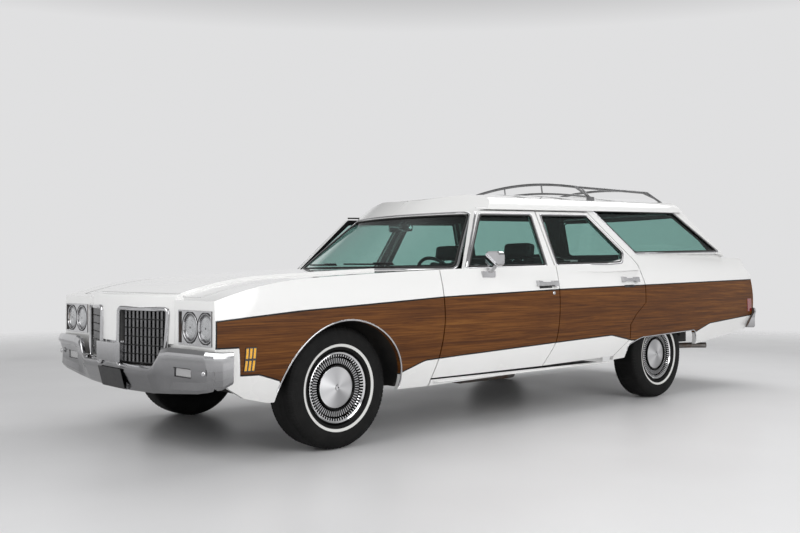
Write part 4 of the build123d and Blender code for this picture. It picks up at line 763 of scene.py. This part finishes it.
def ring_of(name, verts, faces, count, radius, recipe, centre, side, body, slot):
    """Copies of one block round a wheel's axle; block x is outwards from it, z is sideways."""
    mesh = bpy.data.meshes.new(name)
    mesh.from_pydata(verts, [], faces)
    source = bpy.data.objects.new(name + "_block", mesh)
    scene.collection.objects.link(source)
    modifier = source.modifiers.new("ring", "NODES")
    modifier.node_group = RING
    modifier[RING_INPUTS["Count"]] = count
    modifier[RING_INPUTS["Radius"]] = radius
    modifier[RING_INPUTS["Material"]] = recipe.material
    depsgraph = bpy.context.evaluated_depsgraph_get()
    baked = bpy.data.meshes.new_from_object(source.evaluated_get(depsgraph))
    bpy.data.objects.remove(source)
    turn = Matrix.Rotation(side * pi / 2, 4, "Y")
    baked.transform(Matrix.Translation(centre) @ turn)
    baked.name = name
    piece = bpy.data.objects.new(name, baked)
    scene.collection.objects.link(piece)
    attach(piece, body)
    return piece


def wedge(x_low, x_high, half_low, half_high, z_low, z_high):
    """Block between two radii, narrower at one end."""
    verts = [(x, y * half, z) for z in (z_low, z_high)
             for x, half in ((x_low, half_low), (x_high, half_high)) for y in (-1, 1)]
    faces = [(0, 1, 3, 2), (4, 6, 7, 5), (0, 4, 5, 1), (2, 3, 7, 6), (0, 2, 6, 4), (1, 5, 7, 3)]
    return verts, faces


def tread_block(levels, foot, half):
    """Block whose top follows the tyre's shoulder; levels are (sideways, outwards)."""
    verts = [(x, y * half, z) for z, top in levels for x in (foot, top) for y in (-1, 1)]
    last = 4 * (len(levels) - 1)
    faces = [(0, 1, 3, 2), (last, last + 2, last + 3, last + 1)]
    for k in range(0, last, 4):
        faces += [(k, k + 4, k + 5, k + 1), (k + 2, k + 3, k + 7, k + 6),
                  (k, k + 2, k + 6, k + 4), (k + 1, k + 5, k + 7, k + 3)]
    return verts, faces


TRACK_HALF = 0.814
WHEELS = [(place + "_" + side_name, y_at(s), side) for place, s in (("front", 0.0), ("rear", 3.226))
          for side_name, side in SIDES]
for name, wheel_y, side in WHEELS:
    centre = Vector((side * TRACK_HALF, wheel_y, TYRE_RADIUS))
    body = "wheel_" + name
    fins = wedge(-0.0135, 0.0145, 0.0020, 0.0026, 0.064, 0.0735)
    ring_of("cover_fins_" + name, *fins, 66, 0.149, chrome, centre, side, body, "wheel_cover")
    for row, turned in enumerate((1, -1)):
        levels = [(turned * z, top - 0.3265) for z, top in
                  ((0.0780, 0.3420), (0.0915, 0.3345), (0.1000, 0.3205), (0.1055, 0.3020))]
        block = tread_block(levels[::turned], -0.040, 0.0088)
        ring_of("shoulder_blocks_%s_%d" % (name, row), *block, 84, 0.3265, rubber, centre,
                side, body, "tyre_rubber")
print("rings on", len(WHEELS), "wheels")

# %% [markdown]
# ## Grille fins
# Behind each nose opening stands a slanted comb of short fins in six tiers. One column of
# fins is modelled, and a second node group repeats it along a line, because a line of
# copies is exactly what its two inputs, a count and a step, describe.

# %% The row group and both grilles
def row_group():
    group = bpy.data.node_groups.new("row_of_pieces", "GeometryNodeTree")
    for name, kind in (("Geometry", "NodeSocketGeometry"), ("Count", "NodeSocketInt"),
                       ("Step", "NodeSocketVector"), ("Material", "NodeSocketMaterial")):
        group.interface.new_socket(name, in_out="INPUT", socket_type=kind)
    group.interface.new_socket("Geometry", in_out="OUTPUT", socket_type="NodeSocketGeometry")
    add, link = group.nodes.new, group.links.new
    entry, exit_ = add("NodeGroupInput"), add("NodeGroupOutput")
    line = add("GeometryNodeMeshLine")
    link(entry.outputs["Count"], line.inputs["Count"])
    link(entry.outputs["Step"], line.inputs["Offset"])
    copies = add("GeometryNodeInstanceOnPoints")
    link(line.outputs[0], copies.inputs["Points"])
    link(entry.outputs["Geometry"], copies.inputs["Instance"])
    real = add("GeometryNodeRealizeInstances")
    link(copies.outputs[0], real.inputs[0])
    finish = add("GeometryNodeSetMaterial")
    link(real.outputs[0], finish.inputs["Geometry"])
    link(entry.outputs["Material"], finish.inputs["Material"])
    link(finish.outputs[0], exit_.inputs[0])
    return group


ROW = row_group()
ROW_INPUTS = {item.name: item.identifier for item in ROW.interface.items_tree
              if item.in_out == "INPUT"}
FIN_PLAN = [(-0.0085, 0.020), (-0.0085, 0.005), (-0.0050, 0.0), (0.0050, 0.0),
            (0.0085, 0.005), (0.0085, 0.020)]
TIERS = [(0.498 + 0.0475 * k, 0.498 + 0.0475 * k + 0.0415) for k in range(6)]
SLANT = 0.2418
for side_name, side in SIDES:
    verts, faces = [], []
    for low, high in TIERS:
        first = len(verts)
        verts += [(side * x, y, z) for z in (low, high) for x, y in FIN_PLAN]
        faces += [tuple(range(first, first + 6)), tuple(range(first + 6, first + 12))]
        faces += [(first + k, first + (k + 1) % 6, first + 6 + (k + 1) % 6, first + 6 + k)
                  for k in range(6)]
    mesh = bpy.data.meshes.new("fin_column")
    mesh.from_pydata(verts, [], faces)
    whole = bmesh.new()
    whole.from_mesh(mesh)
    bmesh.ops.recalc_face_normals(whole, faces=whole.faces)
    whole.to_mesh(mesh)
    whole.free()
    source = bpy.data.objects.new("fin_column", mesh)
    scene.collection.objects.link(source)
    modifier = source.modifiers.new("row", "NODES")
    modifier.node_group = ROW
    modifier[ROW_INPUTS["Count"]] = 11
    modifier[ROW_INPUTS["Step"]] = (side * 0.0325, SLANT * 0.0325, 0.0)
    modifier[ROW_INPUTS["Material"]] = dull_plating.material
    depsgraph = bpy.context.evaluated_depsgraph_get()
    baked = bpy.data.meshes.new_from_object(source.evaluated_get(depsgraph))
    bpy.data.objects.remove(source)
    baked.transform(Matrix.Translation((side * 0.149, y_at(-0.912 + SLANT * 0.025), 0.0)))
    fins = bpy.data.objects.new("grille_fins_" + side_name, baked)
    scene.collection.objects.link(fins)
    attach(fins, "body")
    corners = [(side * x, y_at(-0.912 + SLANT * (x - 0.124) + d), z)
               for d in (0.019, 0.023) for x, z in ((0.122, 0.490), (0.484, 0.490),
                                                    (0.496, 0.783), (0.122, 0.783))]
    # a black sheet behind the fins: painted shade in the depth of the opening
    mesh_piece("grille_backing_" + side_name, corners,
               [(0, 1, 2, 3), (7, 6, 5, 4), (0, 4, 5, 1), (1, 5, 6, 2), (2, 6, 7, 3), (3, 7, 4, 0)],
               black_paint_and_shade, "body", False)
    print("grille", side_name, len(baked.polygons), "faces of fins")

# %% [markdown]
# ## Small fittings
# Bolt caps, door locks, the blank plate, wipers, the inside mirror, lamp frames and the
# rings of the headlamps.

# %% Lathed caps and rods
def lathe(name, profile, place, axis, recipe, body, steps=32):
    """Turned piece from (radius, height) points along an axis."""
    turn = Vector((0, 0, 1)).rotation_difference(Vector(axis)).to_matrix()
    verts, faces = [], []
    for radius, height in profile:
        for step in range(steps):
            angle = 2 * pi * step / steps
            spot = Vector((radius * cos(angle), radius * sin(angle), height))
            verts.append(turn @ spot + Vector(place))
    for row in range(len(profile) - 1):
        for step in range(steps):
            after = (step + 1) % steps
            faces.append((row * steps + step, row * steps + after,
                          (row + 1) * steps + after, (row + 1) * steps + step))
    faces.append(tuple(reversed(range(steps))))
    faces.append(tuple(range((len(profile) - 1) * steps, len(profile) * steps)))
    return mesh_piece(name, verts, faces, recipe, body)


def tube(name, points, radius, recipe, body, steps=10):
    """Round rod along a short list of points."""
    points = [Vector(p) for p in points]
    verts, faces = [], []
    for index, here in enumerate(points):
        tangent = (points[min(index + 1, len(points) - 1)]
                   - points[max(index - 1, 0)]).normalized()
        first = tangent.cross(Vector((0.3, 0.2, 1.0))).normalized()
        second = tangent.cross(first)
        for step in range(steps):
            angle = 2 * pi * step / steps
            verts.append(here + (first * cos(angle) + second * sin(angle)) * radius)
    for row in range(len(points) - 1):
        for step in range(steps):
            after = (step + 1) % steps
            faces.append((row * steps + step, row * steps + after,
                          (row + 1) * steps + after, (row + 1) * steps + step))
    faces += [tuple(reversed(range(steps))),
              tuple(range((len(points) - 1) * steps, len(points) * steps))]
    return mesh_piece(name, verts, faces, recipe, body)


CAP = [(0.0135, 0.0), (0.0135, 0.002), (0.011, 0.007), (0.006, 0.0095), (0.001, 0.0105)]
for side_name, side in SIDES:
    lathe("bumper_bolt_" + side_name, CAP, (side * 0.925, y_at(-0.8505), 0.485),
          (side * 0.25, -1, 0), chrome, "body")
    lock = flank(side)(1.803, 0.853)
    lathe("door_lock_" + side_name, CAP[:3], lock - Vector((side * 0.001, 0, 0)), (side, 0, 0.1),
          chrome, "door_front_" + side_name)
    for number, lamp_x in enumerate((0.708, 0.868)):
        bright = [(0.070, -0.004), (0.0715, 0.004), (0.0745, 0.0075), (0.0775, 0.004),
                  (0.0785, -0.002)]
        # the dark gap ring between each headlamp ring and its bezel is painted shade
        dark = [(0.0785, -0.004), (0.0785, 0.0062), (0.0840, 0.0062), (0.0840, -0.004)]
        for title, ring, recipe, slot in (("ring", bright, chrome, "chrome_trim"),
                                          ("gap", dark, black_paint_and_shade, "cabin_vinyl")):
            turned = lathe("lamp_%s_%s_%d" % (title, side_name, number), ring + ring[:1],
                           (side * lamp_x, y_at(-0.8035), 0.703), (0, -1, 0), recipe, "body",
                           48)
            bare = bmesh.new()
            bare.from_mesh(turned.data)
            bmesh.ops.delete(bare, geom=[f for f in bare.faces if len(f.verts) > 4],
                             context="FACES_ONLY")
            bare.to_mesh(turned.data)
            bare.free()

plate = [(x, z) for x, z in ((-0.1500, 0.3405), (0.1500, 0.3405), (0.1500, 0.4535),
                             (-0.1500, 0.4535))]
plate_line = rounded(plate, 0.010, True)
verts = [(x, y_at(-0.9040 - 0.256 * (z - 0.3405) - d), z) for d in (0.0, 0.0025)
         for x, z in plate_line]
count = len(plate_line)
faces = [tuple(range(count)), tuple(reversed(range(count, 2 * count)))] + [
    (k, (k + 1) % count, (k + 1) % count + count, k + count) for k in range(count)]
mesh_piece("number_plate", verts, faces, black_paint_and_shade, "body", False)

divider = [(x, s) for x, s in ((-0.1176, -0.8125), (-0.1176, -0.8990), (-0.1100, -0.9060),
                               (0.1100, -0.9060), (0.1176, -0.8990), (0.1176, -0.8125))]
count = len(divider)
verts = [(x, y_at(s), z) for z in (0.6005, 0.6088) for x, s in divider]
verts += [(x, y_at(max(s, -0.8985)), 0.497) for x, s in divider]
faces = [tuple(range(2 * count, 3 * count)), tuple(reversed(range(count, 2 * count)))]
for low, high in ((2, 0), (0, 1)):
    faces += [(low * count + k, low * count + (k + 1) % count, high * count + (k + 1) % count,
               high * count + k) for k in range(count)]
mesh_piece("nose_divider", verts, faces, chrome, "body", False)

for side_name, side in SIDES:
    opening = rounded([(side * 0.110, 0.474), (side * 0.110, 0.792), (side * 0.510, 0.792),
                       (side * 0.488, 0.474)], 0.030, True)
    path = []
    for x, z in opening:
        hit, spot, normal, face = nodes["nose_panel"].ray_cast((x, -4.0, z), (0.0, 1.0, 0.0))
        slant = y_at(-0.926 + 0.2418 * (abs(x) - 0.118))
        near_nose = hit and abs(spot.y - slant) < 0.02
        path.append((x, (spot.y if near_nose else slant) - 0.001, z))
    print("grille frame", side_name, "from", round(min(p[1] for p in path) + 1.9065, 4), "to",
          round(max(p[1] for p in path) + 1.9065, 4))
    tube("grille_frame_" + side_name, path + path[:1], 0.0125, chrome, "body", 12)
    for place, s_low in (("front", 1.640), ("rear", 2.642)):
        # a thin black strip in each handle recess: painted shade
        strip("handle_recess_shade_%s_%s" % (place, side_name), flank(side),
              [(s_low + 0.018, 0.893), (s_low + 0.150, 0.896)], 0.020, 0.0015, black_paint_and_shade,
              "door_%s_%s" % (place, side_name), corner=0.004)

for number, (x_foot, x_tip) in enumerate(((0.44, -0.02), (-0.10, -0.56))):
    rest = [windshield(x_foot + (x_tip - x_foot) * t, 1.040 + 0.006 * t)
            + Vector((0, -0.010, 0.006)) for t in (0.0, 0.35, 0.7, 1.0)]
    tube("wiper_arm_%d" % number, [rest[0] + Vector((0.0, -0.006, 0.008)),
                                   rest[1] + Vector((0.0, -0.006, 0.008))],
         0.0040, black_paint_and_shade, "body")
    tube("wiper_blade_%d" % number, rest, 0.0055, seal, "body")
tube("mirror_stem", [(0, y_at(1.330), 1.43), (0, y_at(1.285), 1.37), (0, y_at(1.262), 1.335)],
     0.007, chrome, "body")
back = rounded([(-0.125, -0.030), (0.125, -0.030), (0.125, 0.030), (-0.125, 0.030)], 0.02, True)
verts = [(x * k, y_at(1.262 + d), 1.322 + z * k) for d, k in
         ((0.0, 0.86), (0.004, 1.0), (0.018, 1.0), (0.020, 0.94)) for x, z in back]
count = len(back)
faces = [tuple(range(count)), tuple(reversed(range(3 * count, 4 * count)))]
for row in range(3):
    faces += [(row * count + k, row * count + (k + 1) % count,
               (row + 1) * count + (k + 1) % count, (row + 1) * count + k) for k in range(count)]
mesh_piece("inside_mirror", verts, faces, chrome, "body")
print("fittings done")

# %% [markdown]
# ## Seats
# Each cushion starts as a rounded slab, is made into one even skin and blown up a little as
# cloth, so that it crowns between its edges. The sewn channels are pressed in afterwards,
# because the even skin would lose them.

# %% Padded seats
SEAT_CAP = 0.022


def pad(name, centre, size, lean, channels, body="body"):
    """Cushion with sewn channels; lean tips its top rearwards, in degrees."""
    half = Vector(size) / 2
    shell = bmesh.new()
    bmesh.ops.create_cube(shell, size=1.0)
    bmesh.ops.scale(shell, vec=Vector(size) * 0.955, verts=shell.verts)
    bmesh.ops.bevel(shell, geom=list(shell.edges), offset=min(size) * 0.26, segments=3,
                    affect="EDGES", profile=0.5)
    mesh = bpy.data.meshes.new(name)
    shell.to_mesh(mesh)
    shell.free()
    piece = bpy.data.objects.new(name, mesh)
    scene.collection.objects.link(piece)
    piece.modifiers.new("even", "REMESH")
    piece.modifiers["even"].mode = "VOXEL"
    piece.modifiers["even"].voxel_size = 0.012
    depsgraph = bpy.context.evaluated_depsgraph_get()
    even = bpy.data.meshes.new_from_object(piece.evaluated_get(depsgraph))
    piece.modifiers.clear()
    piece.data = even
    start = [v.co.copy() for v in even.vertices]
    cloth = piece.modifiers.new("swell", "CLOTH")
    cloth.settings.use_pressure = True
    cloth.settings.uniform_pressure_force = 4.0
    cloth.settings.effector_weights.gravity = 0.0
    cloth.point_cache.frame_start = 1
    cloth.point_cache.frame_end = 14
    for step in range(1, 15):
        scene.frame_set(step)
    depsgraph = bpy.context.evaluated_depsgraph_get()
    swollen = [v.co.copy() for v in piece.evaluated_get(depsgraph).data.vertices]
    piece.modifiers.clear()
    for vertex, before, after in zip(even.vertices, start, swollen):
        move = after - before
        if move.length > SEAT_CAP:
            move = move.normalized() * SEAT_CAP
        vertex.co = before + move
    scene.frame_set(1)
    # sewn channels run from front to back, and the sides are held within the seat's width
    face_axis = 2 if size[2] < size[1] else 1
    for vertex in even.vertices:
        if channels:
            across = (vertex.co.x / half.x * 0.5 + 0.5) * channels
            dip = max(0.0, 1.0 - abs(across - round(across)) / 0.10) if \
                0.5 < across < channels - 0.5 else 0.0
            vertex.co[face_axis] -= dip * 0.006 * (1 if vertex.co[face_axis] > 0 else -1)
        vertex.co.x = max(-half.x, min(half.x, vertex.co.x))
    even.materials.clear()
    even.materials.append(vinyl.material)
    for polygon in even.polygons:
        polygon.use_smooth = True
    even.transform(Matrix.Translation(centre) @ Matrix.Rotation(radians(-lean), 4, "X"))
    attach(piece, body)
    return piece


PADS = [
    # name, centre, size, lean, channels
    ("front_cushion", (0.0, y_at(1.760), 0.590), (1.26, 0.54, 0.155), -4.0, 12),
    ("front_back", (0.0, y_at(2.115), 0.860), (1.26, 0.135, 0.50), 14.0, 12),
    ("rear_cushion", (0.0, y_at(2.690), 0.715), (1.24, 0.46, 0.120), -4.0, 12),
    ("rear_back", (0.0, y_at(3.010), 0.920), (1.24, 0.110, 0.400), 13.0, 12),
    ("headrest_left", (0.38, y_at(2.150), 1.160), (0.270, 0.090, 0.120), 8.0, 0),
    ("headrest_right", (-0.38, y_at(2.150), 1.160), (0.270, 0.090, 0.120), 8.0, 0),
]
for name, centre, size, lean, channels in PADS:
    pad(name, Vector(centre), size, lean, channels)
seat_base = []
for name, y_low, y_high, z_low, z_high, width in (
        ("front_seat_base", 1.530, 2.060, 0.3810, 0.520, 0.60),
        ("rear_seat_base", 2.480, 2.900, 0.6190, 0.665, 0.60)):
    outline = rounded([(y_low, z_low), (y_high, z_low), (y_high, z_high), (y_low, z_high)],
                      0.03, True)
    count = len(outline)
    verts = [(x, y_at(s), z) for x in (-width, width) for s, z in outline]
    faces = [tuple(range(count)), tuple(reversed(range(count, 2 * count)))] + [
        (k, (k + 1) % count, (k + 1) % count + count, k + count) for k in range(count)]
    seat_base.append(mesh_piece(name, verts, faces, underbody, "body", False))
posts = [tube("headrest_post_%d" % k, [(x, y_at(2.130), 1.06), (x, y_at(2.148), 1.13)], 0.006,
              chrome, "body") for k, x in enumerate((0.33, 0.43, -0.33, -0.43))]
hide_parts("seats")
print("pads", len(PADS))

# %% [markdown]
# ## Studio
# A pale sweep behind the car, and large soft lamps. The floor keeps the car's shadow.

# %% Floor, backdrop and lamps
floor_paint = Recipe("studio_floor")
x, y, z, place = floor_paint.where()
from_middle = (x ** 2.0 + y ** 2.0).root()
floor_paint.vary(Base_Color=floor_paint.blend(floor_paint.noise(0.7, 3.0).ramp(0.3, 0.8),
                                              (0.70, 0.70, 0.705), (0.74, 0.74, 0.745)),
                 Roughness=0.30 + floor_paint.noise(2.0, 3.0) * 0.15,
                 Alpha=1.0 - from_middle.ramp(6.0, 11.0))
bpy.ops.mesh.primitive_circle_add(vertices=96, radius=11.5, fill_type="NGON")
floor = bpy.context.object
floor.name = "studio_floor"
floor.data.materials.append(floor_paint.material)

# a pale wall stands round the car; above it the room is dimmer, and the ceiling glows
world = bpy.data.worlds.new("studio_world")
scene.world = world
world.use_nodes = True
tree = world.node_tree
tree.nodes.clear()
sight = tree.nodes.new("ShaderNodeTexCoord")
split = tree.nodes.new("ShaderNodeSeparateXYZ")
tree.links.new(sight.outputs["Generated"], split.inputs[0])
sky = tree.nodes.new("ShaderNodeValToRGB")
SKY = [(0.0, 0.745), (0.27, 0.745), (0.36, 0.26), (0.60, 0.30), (0.74, 0.60), (0.90, 0.34)]
while len(sky.color_ramp.elements) < len(SKY):
    sky.color_ramp.elements.new(0.5)
for element, (position, grey) in zip(sky.color_ramp.elements, SKY):
    element.position = position
    element.color = (grey, grey, grey * 1.008, 1.0)
tree.links.new(split.outputs[2], sky.inputs[0])
wall = tree.nodes.new("ShaderNodeBackground")
tree.links.new(sky.outputs[0], wall.inputs[0])
world_out = tree.nodes.new("ShaderNodeOutputWorld")
tree.links.new(wall.outputs[0], world_out.inputs[0])

LAMPS = [
    # name, place, size, power
    ("over_nose", (1.5, -6.5, 4.2), 4.0, 138.0),
    ("over_side", (7.0, -1.0, 3.4), 5.0, 222.0),
    ("over_roof", (-0.5, 3.4, 5.5), 5.0, 190.0),
]
for name, spot, size, power in LAMPS:
    light = bpy.data.lights.new(name, "AREA")
    light.size = size
    light.energy = power
    lamp = bpy.data.objects.new(name, light)
    lamp.location = spot
    lamp.rotation_euler = (Vector((0.0, 0.0, 0.7)) - Vector(spot)).to_track_quat(
        "-Z", "Y").to_euler()
    scene.collection.objects.link(lamp)
scene.view_settings.view_transform = "Standard"
print("lamps", len(LAMPS))
